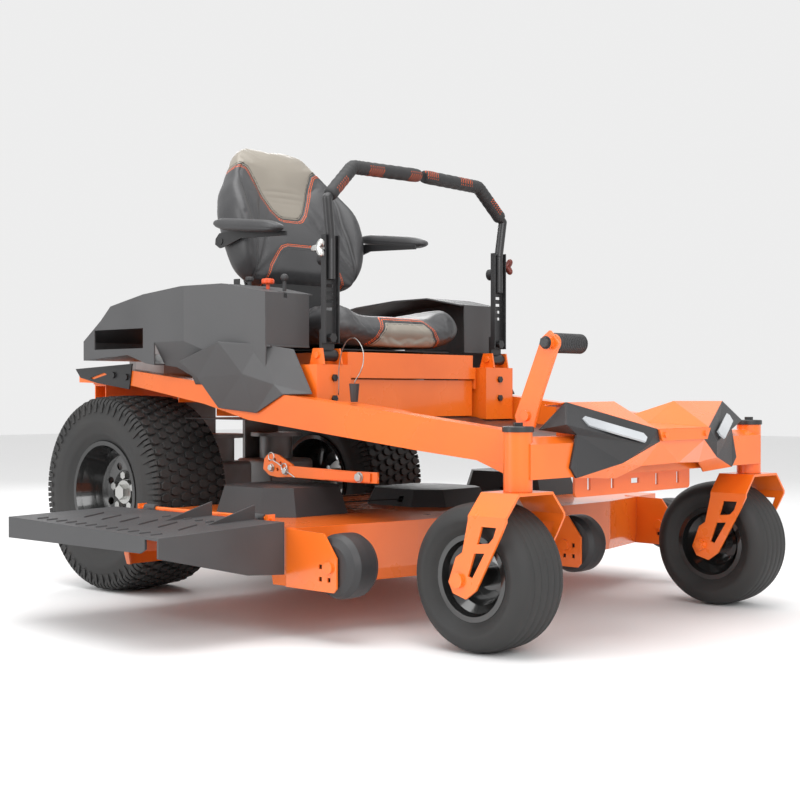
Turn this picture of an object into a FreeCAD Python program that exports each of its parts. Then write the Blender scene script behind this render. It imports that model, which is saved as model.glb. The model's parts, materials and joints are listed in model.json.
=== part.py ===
# Zero turn mower with a 60 inch side discharge deck, drawn with the deck raised for transport.
#
# Millimetres. +X is the operator's left, +Y points to the rear, +Z is up, and the ground is z = 0.
# The pieces are laid out from the middle of the rear axle line (x = 0, y = 0). At the end every piece
# moves together, so that the origin is the middle of the machine's footprint on the ground.
import math
import os

import FreeCAD
import Part

V = FreeCAD.Vector
SIDES = (("right", -1), ("left", 1))

# ---- driving sizes ----
wheelbase = 1403
rear_wheel_r = 280          # 22 x 10-10 turf tyre
rear_wheel_w = 260
rear_rim_r = 137
rear_track = 822
caster_r = 165              # 13 x 6.5-6 smooth tyre
caster_w = 160
caster_rim_r = 84
caster_trail = 82
caster_spread = 982         # between the two head tubes
head_tube_od = 63
head_tube_id = 48
head_tube_low = 354
head_tube_high = 483
stem_r = 15
rail_outer = 458
rail_width = 50
rail_wall = 4
plate = 6                   # frame plate
sheet = 3                   # folded sheet metal
running_fit = 0.05          # radial, shafts in bushes
move_gap = 0.4              # between faces that slide past each other
deck_offset = 85            # deck's middle to the machine's middle, towards the left
deck_half = 765
deck_low = 118
deck_high = 256
deck_wall = 5
deck_rear = -320
deck_front = -1045
spindle_pitch = 495
blade_r = 245
spindle_r = 12.7
scalp_wheel_r = 75
scalp_wheel_w = 92
scalp_bolt_r = 8
chute_reach = 366
chute_thick = 6
seat_half = 272
cushion_low = 686
cushion_high = 772
arm_x = 342                 # lap bar channel from the middle
pivot_z = 664               # lap bar fore and aft pivot
swing_z = 709               # lap bar swing out pivot
bar_r = 12.5
grip_r = 19
bar_grip_z = 1164
hitch_bore_r = 9.5

# ---- places that follow ----
head_x = caster_spread / 2
head_y = -(wheelbase + caster_trail)
head_r = head_tube_od / 2
rail_inner = rail_outer - rail_width
rail_front_y = head_y + 35
beam_low, beam_high = 380, 470
arm_y = -735
seat_hinge_y, seat_hinge_z = -712, 590
arm_pin_y, arm_pin_z = -214, 1003
arm_pin_r = 9
deck_right = deck_offset - deck_half
deck_left = deck_offset + deck_half
caster_z = caster_r

PARTS = {}


# ---- drawing helpers ----
def box(x0, x1, y0, y1, z0, z1):
    return Part.makeBox(x1 - x0, y1 - y0, z1 - z0, V(x0, y0, z0))


def rod(start, end, r):
    run = V(*end) - V(*start)
    return Part.makeCylinder(r, run.Length, V(*start), run)


def pipe(start, end, r_out, r_in):
    return rod(start, end, r_out).cut(rod(start, end, r_in))


def polygon(points):
    return Part.makePolygon([V(*p) for p in points] + [V(*points[0])])


def prism(points, move):
    return Part.Face(polygon(points)).extrude(V(*move))


def side_plate(yz, x0, x1):
    return prism([(x0, y, z) for y, z in yz], (x1 - x0, 0, 0))


def front_plate(xz, y0, y1):
    return prism([(x, y0, z) for x, z in xz], (0, y1 - y0, 0))


def flat_plate(xy, z0, z1):
    return prism([(x, y, z0) for x, y in xy], (0, 0, z1 - z0))


def area(points):
    """Twice the signed area of a flat polygon, positive if it is listed anticlockwise."""
    return sum(a[0] * b[1] - b[0] * a[1] for a, b in zip(points, points[1:] + points[:1]))


def inset(points, d):
    """A flat polygon with each side moved inwards by d."""
    d = math.copysign(d, area(points))
    out = []
    n = len(points)
    for i in range(n):
        (ax, ay), (bx, by), (cx, cy) = points[i - 1], points[i], points[(i + 1) % n]
        l1 = math.hypot(bx - ax, by - ay)
        l2 = math.hypot(cx - bx, cy - by)
        n1 = (-(by - ay) / l1, (bx - ax) / l1)
        n2 = (-(cy - by) / l2, (cx - bx) / l2)
        k = d / (1 + n1[0] * n2[0] + n1[1] * n2[1])
        out.append((bx + k * (n1[0] + n2[0]), by + k * (n1[1] + n2[1])))
    return out


def folded(facets, move):
    """Sheet metal: flat facets with shared edges, all thickened the same way, as one solid."""
    plates = [prism(f, move) for f in facets]
    return plates[0].multiFuse(plates[1:]).removeSplitter()


def turned(profile, centre, axis=(1, 0, 0)):
    """A ring or wheel: (along axis, radius) pairs turned about the axis through centre."""
    pts = [V(a, 0, r) for a, r in profile]
    ring = Part.Face(Part.makePolygon(pts + [pts[0]])).revolve(V(0, 0, 0), V(1, 0, 0), 360)
    ring.Placement = FreeCAD.Placement(V(*centre), FreeCAD.Rotation(V(1, 0, 0), V(*axis)))
    return ring


def rounded(shape, r, picks):
    """Fillet the edges that picks(edge) chooses."""
    edges = [e for e in shape.Edges if picks(e)]
    return shape.makeFillet(r, edges) if edges else shape


def fuse(*shapes):
    return shapes[0].multiFuse(list(shapes[1:])).removeSplitter()


def group(*shapes):
    return Part.makeCompound(list(shapes))


def hexagon(start, across, length, axis):
    """A hexagon head or nut that starts at a point and runs along an axis."""
    pts = [(across / math.sqrt(3) * math.cos(math.radians(60 * k)),
            across / math.sqrt(3) * math.sin(math.radians(60 * k)), 0) for k in range(6)]
    head = prism(pts, (0, 0, length))
    head.Placement = FreeCAD.Placement(V(*start), FreeCAD.Rotation(V(0, 0, 1), V(*axis)))
    return head


def mirrored(shape):
    return shape.mirror(V(0, 0, 0), V(1, 0, 0))


def sided(shape, s):
    """A shape drawn on the left, put on side s."""
    return shape if s > 0 else mirrored(shape)


def add(name, shape):
    PARTS[name] = shape


# ---- main rails: box tubes that bend over the rear tyres and slope down to the front ----
rail_rear_y = 212
rail_top = [(rail_front_y, 481), (-1166, 512), (-696, 562), (0, 636), (rail_rear_y, 638)]
rail_low = [(rail_rear_y, 598), (0, 592), (-57, 586), (-377, 537), (-558, 496), (-1166, 432),
            (rail_front_y, 406)]
rail_outline = rail_top + rail_low


def rail(s):
    outside = side_plate(rail_outline, rail_inner, rail_outer)
    bore = side_plate(inset(rail_outline, rail_wall), rail_inner + rail_wall,
                      rail_outer - rail_wall)
    return sided(outside.cut(bore), s)


pin_x, pin_y, pin_z = -394, -888, 541
shelf = side_plate([(-850, 545), (-1062, 522), (-1062, 519), (-850, 542)], -rail_inner - 1, pin_x + 22)
add("rail_right", fuse(rail(-1), shelf))
add("rail_left", rail(1))


# ---- front beam: cross beam, head tubes and gussets, welded ----
beam_outline = [(head_y - 35, beam_low), (rail_front_y, beam_low), (rail_front_y, beam_high),
                (head_y - 8, beam_high), (head_y - 35, beam_high - 14)]


def front_beam():
    beam = side_plate(beam_outline, -head_x, head_x)
    hollow = side_plate(inset(beam_outline, rail_wall), -head_x, head_x)
    shape = beam.cut(hollow)
    for s in (-1, 1):
        x = s * head_x
        shape = shape.cut(rod((x, head_y, 0), (x, head_y, 600), head_r))
        shape = shape.cut(box(min(x, 2 * x), max(x, 2 * x), head_y - 60, head_y + 60, 300, 600))
        tube = pipe((x, head_y, head_tube_low), (x, head_y, head_tube_high), head_r,
                    head_tube_id / 2)
        gusset = side_plate([(rail_front_y, 411), (rail_front_y, 378), (rail_front_y + 110, 416),
                             (rail_front_y + 110, 422)], s * (rail_outer - 8), s * rail_outer)
        gusset = gusset.cut(side_plate(rail_outline, s * rail_inner, s * rail_outer))
        web = flat_plate([(s * (rail_outer - 20), rail_front_y), (s * rail_outer, rail_front_y),
                          (s * (head_x + 4), head_y + 10), (s * (head_x - 20), head_y)], 400, 446)
        web = web.cut(rod((x, head_y, 0), (x, head_y, 600), head_r))
        shape = fuse(shape, tube, gusset, web)
    return shape


add("front_beam", front_beam())


# ---- accessory plate under the beam: black, five slots ----
def accessory_plate():
    y0 = rail_front_y - plate
    shape = box(-245, 245, y0, rail_front_y, 326, beam_low)
    for x, w, h in ((-190, 12, 28), (-95, 12, 28), (0, 34, 12), (95, 12, 28), (190, 12, 28)):
        shape = shape.cut(box(x - w / 2, x + w / 2, y0 - 1, rail_front_y + 1, 355 - h / 2, 355 + h / 2))
    return rounded(shape, 10, lambda e: e.Length < plate + 1 and e.CenterOfMass.z < 330)


add("accessory_plate", accessory_plate())


# ---- caster fittings: caps, wear rings and bushes of both head tubes ----
def caster_fitting(s):
    x = s * head_x
    bushes = [pipe((x, head_y, z), (x, head_y, z + 22), head_tube_id / 2, stem_r + running_fit)
              for z in (head_tube_low, head_tube_high - 24)]
    cap = rod((x, head_y, head_tube_high), (x, head_y, head_tube_high + 12), head_r + 3)
    cap = rounded(cap, 3, lambda e: e.CenterOfMass.z > head_tube_high + 11)
    bolt = hexagon((x, head_y, head_tube_high + 12), 19, 8, (0, 0, 1))
    return bushes + [cap, bolt]


add("caster_fittings", group(*caster_fitting(-1), *caster_fitting(1)))


# ---- casters: fork, stem and axle bolt; rim; tyre ----
fork_top = head_tube_low - move_gap
fork_half = 103
fork_plate = 6
axle_r = 9.5


def caster_fork(s):
    outer = [(-fork_half, 100), (-fork_half, fork_top - 48), (-fork_half + 44, fork_top),
             (fork_half - 44, fork_top), (fork_half, fork_top - 48), (fork_half, 100)]
    inner = [(fork_half - fork_plate, 100), (fork_half - fork_plate, fork_top - 50),
             (fork_half - 46, fork_top - fork_plate), (-fork_half + 46, fork_top - fork_plate),
             (-fork_half + fork_plate, fork_top - 50), (-fork_half + fork_plate, 100)]
    strip = front_plate(outer + inner, -80, 160)
    t = caster_trail
    leg = side_plate([(-50, 400), (-50, 296), (-36, 268), (t - 50, 146), (t - 22, 126), (t + 14, 136),
                      (t + 27, 160), (t + 6, 214), (t - 12, 226), (54, 296), (54, 400)], -200, 200)
    shape = strip.common(leg)
    upper_hole = [(-16, 262), (-24, 284), (16, 284), (28, 246), (-4, 250)]
    lower_hole = [(8, 228), (t - 46, 226), (t - 28, 176), (t - 40, 172)]
    for hole in (upper_hole, lower_hole):
        shape = shape.cut(side_plate(hole, -200, 200))
    shape = shape.cut(rod((-200, t, caster_z), (200, t, caster_z), axle_r))
    stem = rod((0, 0, fork_top - fork_plate), (0, 0, head_tube_high - 2), stem_r)
    shape = fuse(shape, stem)
    axle = fuse(rod((-fork_half - 2, t, caster_z), (fork_half + 16, t, caster_z), axle_r),
                rod((-fork_half - 8, t, caster_z), (-fork_half, t, caster_z), 17))
    nut = hexagon((fork_half, t, caster_z), 28, 12, (1, 0, 0))
    nut = nut.cut(rod((0, t, caster_z), (200, t, caster_z), axle_r))
    whole = group(shape, axle, nut)
    if s > 0:
        whole = mirrored(whole)
    whole.translate(V(s * head_x, head_y, 0))
    return whole


def tyre_profile(r, w, rim_r, wall, bead):
    """Half outside, half inside, of a tyre's section, from the right bead to the left one."""
    h = w / 2
    b = h - 24
    outside = [(-b, rim_r), (-b, rim_r + 16), (-h + 5, rim_r + 32), (-h, rim_r + (r - rim_r) * 0.5),
               (-h + 3, r - 42), (-h + 16, r - 17), (-h + 42, r - 4), (0, r)]
    outside += [(-a, q) for a, q in outside[-2::-1]]
    inside = [(b - bead, rim_r), (b - bead, rim_r + 18), (h - wall, rim_r + 38),
              (h - wall, r - 44), (h - wall - 30, r - wall - 6), (0, r - wall)]
    inside += [(-a, q) for a, q in inside[-2::-1]]
    return outside + inside


def rim_profile(r, w, disc, hub, depth):
    """A pressed steel rim: barrel with flanges and drop centre, and a disc that stands at depth."""
    h = w / 2 - 24
    outside = [(-h - 4, r), (-h - 4, r + 12), (-h, r + 14), (-h, r), (-h + 14, r), (-26, r - 16),
               (26, r - 16), (h - 14, r), (h, r), (h, r + 14), (h + 4, r + 12), (h + 4, r)]
    inside = [(h - 12, r - 6), (depth + 26, r - 22), (depth + 8, r - 30), (depth, hub + 28),
              (depth, hub), (depth - disc, hub), (depth - disc, hub + 12),
              (depth - disc + 6, r - 32), (-28, r - 22), (-h + 12, r - 6)]
    return outside + inside


def caster_rim(centre):
    barrel = turned(rim_profile(caster_rim_r, caster_w, 6, 20, 12), centre)
    x, y, z = centre
    half = fork_half - fork_plate - 2
    hub = pipe((x - half, y, z), (x + half, y, z), 22, axle_r + running_fit)
    return fuse(barrel, hub)


for side, s in SIDES:
    centre = (s * head_x, -wheelbase, caster_z)
    add(f"caster_fork_{side}", caster_fork(s))
    add(f"caster_rim_{side}", caster_rim(centre))
    add(f"caster_tyre_{side}", turned(tyre_profile(caster_r, caster_w, caster_rim_r, 12, 10), centre))


# ---- rear wheels: tyre, rim, and hub with shaft and nuts ----
hub_depth = 30
shaft_r = 17.5


def rear_rim(s):
    centre = (0, 0, rear_wheel_r)
    rim = turned(rim_profile(rear_rim_r, rear_wheel_w, 6, 36, hub_depth), centre)
    for k in range(8):
        a = math.radians(45 * k + 22.5)
        y, z = 78 * math.cos(a), rear_wheel_r + 78 * math.sin(a)
        rim = rim.cut(rod((-60, y, z), (90, y, z), 11))
    rim = sided(rim, s)
    rim.translate(V(s * rear_track / 2, 0, 0))
    return rim


def rear_hub(s):
    c = rear_track / 2
    face = c + hub_depth - 6
    z = rear_wheel_r
    flange = fuse(rod((face - 12, 0, z), (face, 0, z), 62), rod((face, 0, z), (face + 16, 0, z), 34),
                  rod((face - 60, 0, z), (face - 12, 0, z), 36), rod((150, 0, z), (face, 0, z), shaft_r))
    nuts = []
    for k in range(5):
        a = math.radians(72 * k + 90)
        y, zz = 48 * math.cos(a), z + 48 * math.sin(a)
        nuts.append(hexagon((face + 6, y, zz), 20, 14, (1, 0, 0)))
        flange = flange.cut(rod((face - 20, y, zz), (face, y, zz), 5))
    cap = hexagon((face + 16, 0, z), 38, 16, (1, 0, 0))
    whole = group(flange, cap, *nuts)
    return sided(whole, s)


for side, s in SIDES:
    centre = (s * rear_track / 2, 0, rear_wheel_r)
    add(f"rear_tyre_{side}", turned(tyre_profile(rear_wheel_r, rear_wheel_w, rear_rim_r, 14, 12), centre))
    add(f"rear_rim_{side}", rear_rim(s))
    add(f"rear_hub_{side}", rear_hub(s))


# ---- transaxles: two sealed hydrostatic drives between the wheels ----
def transaxle(s):
    z = rear_wheel_r
    body = box(40, 215, -95, 85, z - 70, z + 80)
    body = rounded(body, 14, lambda e: True)
    nose = rod((200, 0, z), (255, 0, z), 45)
    pump = rod((120, -20, z + 78), (120, -20, z + 150), 52)
    fan = rod((120, -20, z + 150), (120, -20, z + 162), 80)
    hanger = box(60, 200, 60, 72, z + 60, 592)
    bore = rod((140, 0, z), (300, 0, z), shaft_r + running_fit)
    return sided(fuse(body, nose, pump, fan, hanger).cut(bore), s)


add("transaxles", group(transaxle(-1), transaxle(1)))


# ---- rear frame: engine deck plate, rear cross beam with hitch tongue, side hood panels ----
hitch_y, hitch_z = 432, 330
engine_plate_z = 592


def rear_frame():
    deck = flat_plate([(-rail_inner, -150), (rail_inner, -150), (rail_inner, rail_rear_y), (280, 390),
                       (-280, 390), (-rail_inner, rail_rear_y)], engine_plate_z, engine_plate_z + plate)
    beam = box(-280, 280, 330, 390, 520, engine_plate_z)
    beam = beam.cut(box(-280, 280, 334, 386, 524, engine_plate_z - 4))
    drop = box(-60, 60, 382, 390, hitch_z, 520)
    tongue = box(-45, 45, 382, hitch_y + 34, hitch_z - 8, hitch_z)
    tongue = rounded(tongue, 30, lambda e: e.Length < 9 and e.CenterOfMass.y > hitch_y)
    shape = fuse(deck, beam, drop, tongue)
    return shape.cut(rod((0, hitch_y, 0), (0, hitch_y, 600), hitch_bore_r))


add("rear_frame", rear_frame())


# ---- engine: block, cooling shroud and muffler ----
def engine():
    z = engine_plate_z + plate
    block = rounded(box(-150, 150, 10, 300, z, z + 130), 16, lambda e: e.Length > 100)
    heads = [rounded(box(s * 205 - 55, s * 205 + 55, 60, 200, z + 20, z + 120), 10,
                     lambda e: e.Length > 100) for s in (-1, 1)]
    shroud = rod((0, 150, z + 130), (0, 150, z + 190), 150)
    shroud = rounded(shroud, 30, lambda e: e.CenterOfMass.z > z + 180)
    filter_can = rod((-120, 250, z + 160), (120, 250, z + 160), 48)
    muffler = rounded(box(-160, 160, 306, 372, z + 20, z + 110), 20, lambda e: e.Length > 200)
    return fuse(block, *heads, shroud, filter_can), muffler


add("engine", group(*engine()))


# ---- seat base: folded box that carries the hinged seat pan, and the floor pan ----
base_top = 603
pan_half = arm_x - 87         # the hinged pan stays clear of the lap bar towers


def seat_base():
    x = pan_half + 7
    shape = box(-x, x, -715, -190, 500, base_top)
    shape = shape.cut(box(-x + sheet, x - sheet, -715 + sheet, -189, 499, base_top - sheet))
    wings = [box(min(s * x, s * rail_inner), max(s * x, s * rail_inner), -200 - sheet, -200, 540,
                 base_top) for s in (-1, 1)]
    return fuse(shape, *wings)


add("seat_base", seat_base())

floor_line = [(-230, 497), (-715, 497), (-760, 486), (-1166, 440), (rail_front_y, 416)]


def floor_pan():
    low = [(y, z - sheet) for y, z in floor_line]
    return side_plate(floor_line + low[::-1], -rail_inner, rail_inner)


add("floor_pan", floor_pan())


# ---- lap bar towers: channels that stand on the floor pan beside the seat ----
def tower(s):
    outline = [(-757, 490), (-757, 640), (-650, 640), (-640, 500)]
    outside = side_plate(outline, arm_x - 66, arm_x + 56)
    inside = side_plate([(-757 + 5, 480), (-757 + 5, 635), (-640, 635), (-630, 480)],
                        arm_x - 61, arm_x + 51)
    floor = side_plate([(-230, 300), (-230, 497), (-715, 497), (-760, 486), (-1166, 440), (-1166, 300)],
                       arm_x - 142, arm_x + 78)
    shape = outside.cut(inside).cut(floor)
    lugs = [side_plate([(-760, 640), (-752, 682), (-718, 682), (-705, 640)], x, x + 5)
            for x in (arm_x - 34, arm_x + 29)]
    pin = rod((arm_x - 40, arm_y, pivot_z), (arm_x + 40, arm_y, pivot_z), 8)
    lugs = [lug.cut(pin) for lug in lugs]
    return sided(group(fuse(shape, *lugs), pin), s)


add("lap_bar_towers", group(tower(-1), tower(1)))


# ---- lap bar controls: pivot bracket, then channel with tube, then grip ----
def control_pivot(s):
    knuckle = pipe((arm_x - 28, arm_y, pivot_z), (arm_x + 28, arm_y, pivot_z), 15, 8 + running_fit)
    blade_plate = box(arm_x - 22, arm_x + 22, arm_y - 5, arm_y + 5, pivot_z + 10, swing_z + 22)
    pin = rod((arm_x, arm_y - 22, swing_z), (arm_x, arm_y + 5, swing_z), 7)
    head = hexagon((arm_x, arm_y - 26, swing_z), 22, 9, (0, 1, 0))
    whole = fuse(knuckle, blade_plate.cut(rod((arm_x - 28, arm_y, pivot_z), (arm_x + 28, arm_y, pivot_z),
                                              14)), pin, head)
    return sided(whole, s)


bar_path = [(arm_x, arm_y - 14, 965), (arm_x + 15, arm_y - 17, 1068), (256, arm_y - 8, 1161),
            (10, arm_y - 18, bar_grip_z)]


def tube_along(points, r, bend):
    """A round bar along straight runs, with one ball at each bend."""
    pieces = [rod(a, b, r) for a, b in zip(points, points[1:])]
    pieces += [Part.makeSphere(r + bend, V(*p)) for p in points[1:-1]]
    return fuse(*pieces)


def lap_bar(s):
    y1 = arm_y - 5 - move_gap
    channel = box(arm_x - 26, arm_x + 26, y1 - 16, y1, swing_z - 14, 975)
    channel = channel.cut(box(arm_x - 22, arm_x + 22, y1 - 20, y1 - 4, swing_z - 20, 980))
    for k in range(9):
        z = 780 + 20 * k
        channel = channel.cut(box(arm_x - 13, arm_x + 13, y1 - 5, y1 + 1, z, z + 8))
    channel = channel.cut(rod((arm_x, arm_y - 60, swing_z), (arm_x, arm_y + 20, swing_z),
                              7 + running_fit))
    lug = box(arm_x - 20, arm_x + 20, y1 - 4, y1, 960, 975)
    bar = tube_along([bar_path[0], bar_path[1], bar_path[2], bar_path[3]], bar_r, 0)
    stub = rod((arm_x, arm_y - 14, 860), bar_path[0], bar_r)
    bar = fuse(bar, stub).cut(box(arm_x - 40, arm_x + 40, y1 - 4, y1 + 20, 700, 975))
    knob = rod((arm_x, y1, 915), (arm_x, y1 + 26, 915), 17)
    return sided(group(fuse(channel, lug), bar, knob), s)


def grip(s):
    a, b = V(*bar_path[2]), V(*bar_path[3])
    start = a + (b - a) * 0.12
    end = b + (b - a) * 0.02
    sleeve = rod(tuple(start), tuple(end), grip_r).cut(rod(bar_path[2], bar_path[3], bar_r))
    return sided(sleeve, s)


for side, s in SIDES:
    add(f"control_pivot_{side}", control_pivot(s))
    add(f"lap_bar_{side}", lap_bar(s))
    add(f"grip_{side}", grip(s))


# ---- foot cowl: folded sheet with two wings, black lamp pods on its slanted front, nose plate ----
wing_out = V(334, head_y - 13, 546)
wing_in = V(128, head_y + 2, 547)
rear_out = V(338, head_y + 45, 540)
rear_in = V(128, head_y + 45, 532)
nose_y = head_y - 107
nose_top = V(112, nose_y, 484)
nose_low = V(97, nose_y + 3, 455)
pod_tip = V(365, head_y + 37, 484)
brow_out = V(376, head_y - 45, 497)
brow_in = V(149, nose_y, 448)
pod_in = V(333, head_y - 41, 474)
pod_side = V(356, head_y - 41, 402)
pod_foot = V(334, head_y - 41, 378)
lip_out = V(204, head_y - 75, 408)
skirt_out = V(190, head_y - 45, 371)
skirt_in = V(125, head_y - 71, 398)


def on_side(s, *points):
    return [(s * p.x, p.y, p.z) for p in points]


def cowl_half(s):
    """Top deck, wing slopes, nose backing and lower skirt of one half."""
    saddle, saddle_rear = V(0, head_y - 7, 496), V(0, head_y + 45, 512)
    nose_mid, nose_mid_low, skirt_mid = V(0, nose_y, 484), V(0, nose_y + 3, 455), V(0, nose_y + 14, 402)
    deck = [on_side(s, *f) for f in ((wing_out, wing_in, rear_in), (wing_out, rear_in, rear_out),
                                     (wing_in, saddle, saddle_rear), (wing_in, saddle_rear, rear_in))]
    front = [on_side(s, *f) for f in (
        (wing_out, nose_top, wing_in), (wing_in, nose_top, saddle), (nose_top, nose_mid, saddle),
        (nose_top, nose_low, nose_mid_low), (nose_top, nose_mid_low, nose_mid),
        (nose_low, lip_out, skirt_in), (nose_low, skirt_in, skirt_mid), (nose_low, skirt_mid, nose_mid_low),
        (lip_out, pod_foot, skirt_out), (lip_out, skirt_out, skirt_in))]
    bracket = box(s * 300 - 2, s * 300 + 2, head_y - 10, head_y + 40, beam_high, 538)
    return fuse(folded(deck, (0, 0, -sheet)), folded(front, (0, sheet, 0)), bracket)


add("foot_cowl", fuse(cowl_half(-1), cowl_half(1)))


def lamp_lens(s):
    """A clear strip that stands on the pod's upper facet."""
    along, down = nose_top - wing_out, brow_out - wing_out
    out = down.cross(along).normalize() * 5
    corners = [wing_out + along * u + down * v for u, v in
               ((0.2, 0.36), (0.84, 0.36), (0.88, 0.5), (0.86, 0.72), (0.24, 0.72), (0.17, 0.5))]
    lift = out * 0.15
    face = on_side(s, *[c + lift for c in corners])
    return prism(face, (s * out.x, out.y, out.z))


def lamp_pod(s):
    """Faceted black housing between the wing, the nose plate and the cross beam."""
    facets = [(wing_out, nose_top, brow_in), (wing_out, brow_in, brow_out), (wing_out, brow_out, pod_tip),
              (pod_tip, brow_out, pod_in), (brow_out, brow_in, pod_in), (pod_in, brow_in, lip_out),
              (pod_in, lip_out, pod_foot), (pod_in, pod_foot, pod_side), (brow_in, nose_low, lip_out),
              (nose_top, nose_low, brow_in)]
    shape = folded([on_side(s, *f) for f in facets], (0, 5, 0))
    shape.translate(V(0, -0.2, -0.2))
    return shape.cut(PARTS["foot_cowl"]).cut(lamp_lens(s))


add("headlight_housings", group(lamp_pod(-1), lamp_pod(1)))
add("headlight_lenses", group(lamp_lens(-1), lamp_lens(1)))


def nose_plate():
    y = nose_y - 0.4
    shape = front_plate([(-97, 456), (97, 456), (112, 483), (-112, 483)], y - 5, y)
    bolts = [hexagon((x, y - 5, 470), 13, 5, (0, -1, 0)) for x in (-88, 88)]
    return group(shape, *bolts)


add("nose_plate", nose_plate())


# ---- pods: moulded side fenders over the rear wheels, the right one with the controls ----
pod_outer, pod_inner, pod_wall = 530, 300, 4
pod_outline = [(84, 660), (84, 715), (-1, 772), (-48, 811), (-200, 838), (-365, 852), (-503, 854),
               (-640, 828), (-640, 690), (-690, 680), (-752, 562), (-626, 565), (-538, 512), (-335, 541),
               (-345, 612), (-300, 636), (-211, 648), (-130, 672)]


def pod_plan(d):
    """Outer boundary in plan: full width over the tyre, drawn in to the rail's face at the nose."""
    x = pod_outer - d
    return [(pod_inner - 20, 200), (x, 200), (x, -380), (x - 30, -510), (x - 60, -640 - d), (414, -660),
            (414, -900), (pod_inner - 20, -900)]


def pod(s):
    def body(outline, d):
        below = front_plate([(560, 705), (pod_outer - d, 705), (442 - d, 560), (420, 500), (560, 500)],
                            -800, -250)
        return side_plate(outline, pod_inner - d, pod_outer).common(
            flat_plate(pod_plan(d), 400, 900)).cut(below)

    shape = body(pod_outline, 0).cut(body(inset(pod_outline, pod_wall), pod_wall))
    shape = shape.cut(box(0, 316, -900, -636, 500, 900)).cut(box(0, rail_outer - 2, -900, -642, 500, 700))
    rail_space = side_plate(rail_outline, rail_inner - 60, rail_outer + 2)
    shape = shape.cut(rail_space).cut(box(pod_inner - 10, rail_outer + 2, -640, 200, 400, 655))
    shape = shape.cut(box(pod_outer - 60, pod_outer + 10, -200, 30, 690, 745))
    if s < 0:
        for y, z, r in control_holes:
            shape = shape.cut(rod((control_x, y, z - 60), (control_x, y, z + 60), r))
        shape = shape.cut(box(control_x - 6, control_x + 6, -660, -606, 815, 850))
    return sided(shape, s)


control_x = 400
stem_fit_r = 5
control_holes = [(-497, 850, stem_fit_r + 0.5), (-571, 840, stem_fit_r + 0.5)]

for side, s in SIDES:
    add(f"pod_{side}", pod(s))


# ---- hand controls on the right pod ----
def push_knob(y, face_z, cap_r, cap_h, lift):
    x = -control_x
    stem = rod((x, y, face_z - 26), (x, y, face_z + lift), stem_fit_r)
    cap = rod((x, y, face_z + lift), (x, y, face_z + lift + cap_h), cap_r)
    cap = rounded(cap, cap_h * 0.3, lambda e: e.Length > 10)
    return fuse(stem, cap)


add("choke_knob", push_knob(-497, 853.5, 11, 12, 12))
add("pto_knob", push_knob(-571, 840, 17, 14, 14))


def throttle_lever():
    x, y, z = -control_x, -636, 830
    arm = box(x - 3, x + 3, y - 4, y + 4, z + 2, z + 34)
    knob = Part.makeSphere(10, V(x, y, z + 38))
    return fuse(arm, knob)


add("throttle_lever", throttle_lever())


def key_switch():
    x, y, z = -control_x, -445, 854.5
    base = rod((x, y, z), (x, y, z + 5), 12)
    head = box(x - 2, x + 2, y - 11, y + 11, z + 5, z + 20)
    return fuse(base, head)


add("key_switch", key_switch())


# ---- rear side guards: black slotted plates bolted to the rails' outer faces ----
def guard(s):
    x = rail_outer + 0.4
    shape = side_plate([(226, 638), (-56, 650), (-42, 577), (118, 596), (200, 612)], x, x + 4)
    shape = shape.cut(side_plate([(150, 611), (80, 626), (66, 620), (136, 606)], x - 1, x + 5))
    bolts = [hexagon((x + 4, y, z), 16, 6, (1, 0, 0)) for y, z in ((30, 618), (-32, 612))]
    return [sided(p, s) for p in (shape, *bolts)]


add("rear_guards", group(*guard(-1), *guard(1)))


# ---- seat: hinged pan, frame with slides, cushion, back and armrests ----
def seat_pan():
    shape = box(-pan_half, pan_half, -724, -240, 606, 675)
    shape = shape.cut(box(-pan_half + sheet, pan_half - sheet, -724 + sheet, -240 - sheet, 600, 675 - sheet))
    ears = []
    for s in (-1, 1):
        ear = side_plate([(-724, 606), (-700, 606), (-700, 640), (-724, 640)],
                         s * pan_half, s * (pan_half + 13))
        ears.append(ear)
    return fuse(shape, *ears)


def seat_pan_hinge():
    """Ears of the pan and the pins that the pan turns on."""
    pins = []
    for s in (-1, 1):
        ear = side_plate([(seat_hinge_y - 12, 578), (seat_hinge_y + 12, 578), (seat_hinge_y + 12, 640),
                          (seat_hinge_y - 12, 640)], s * (pan_half + 9), s * (pan_half + 13))
        pin = rod((s * (pan_half + 7 + move_gap), seat_hinge_y, seat_hinge_z),
                  (s * (pan_half + 17), seat_hinge_y, seat_hinge_z), 6)
        pins += [ear, pin]
    return pins


add("seat_pan", fuse(seat_pan(), *seat_pan_hinge()))

back_tilt = 21
back_root = (-262, 872)
back_half = 255             # half width of the backrest across its wings
arm_in = back_half + 4      # inner face of the flat arm


def back_plane(shape):
    """Lean a shape that was drawn upright over the back's root."""
    shape = shape.copy()
    shape.rotate(V(0, back_root[0], back_root[1]), V(1, 0, 0), -back_tilt)
    return shape


def seat_frame():
    slides = [box(x - 16, x + 16, -640, -300, 675 + move_gap, cushion_low) for x in (-150, 150)]
    floor = box(-220, 220, -660, -262, cushion_low - 4, cushion_low)
    riser = box(-150, 150, -268, -262, cushion_low - 4, 900)
    back = back_plane(box(-150, 150, back_root[0] + 62, back_root[0] + 68, 850, 1220))
    link = box(-150, 150, -268, -190, 880, 886)
    pin_bar = rod((-arm_in - 8, arm_pin_y, arm_pin_z), (arm_in + 8, arm_pin_y, arm_pin_z), arm_pin_r)
    return fuse(*slides, floor, riser, link, back, pin_bar, *arm_pin_lugs())


def arm_pin_lugs():
    return [box(x - 5, x + 5, arm_pin_y, -146, arm_pin_z - 9, arm_pin_z + 9) for x in (-145, 145)]


add("seat_frame", seat_frame())


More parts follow.
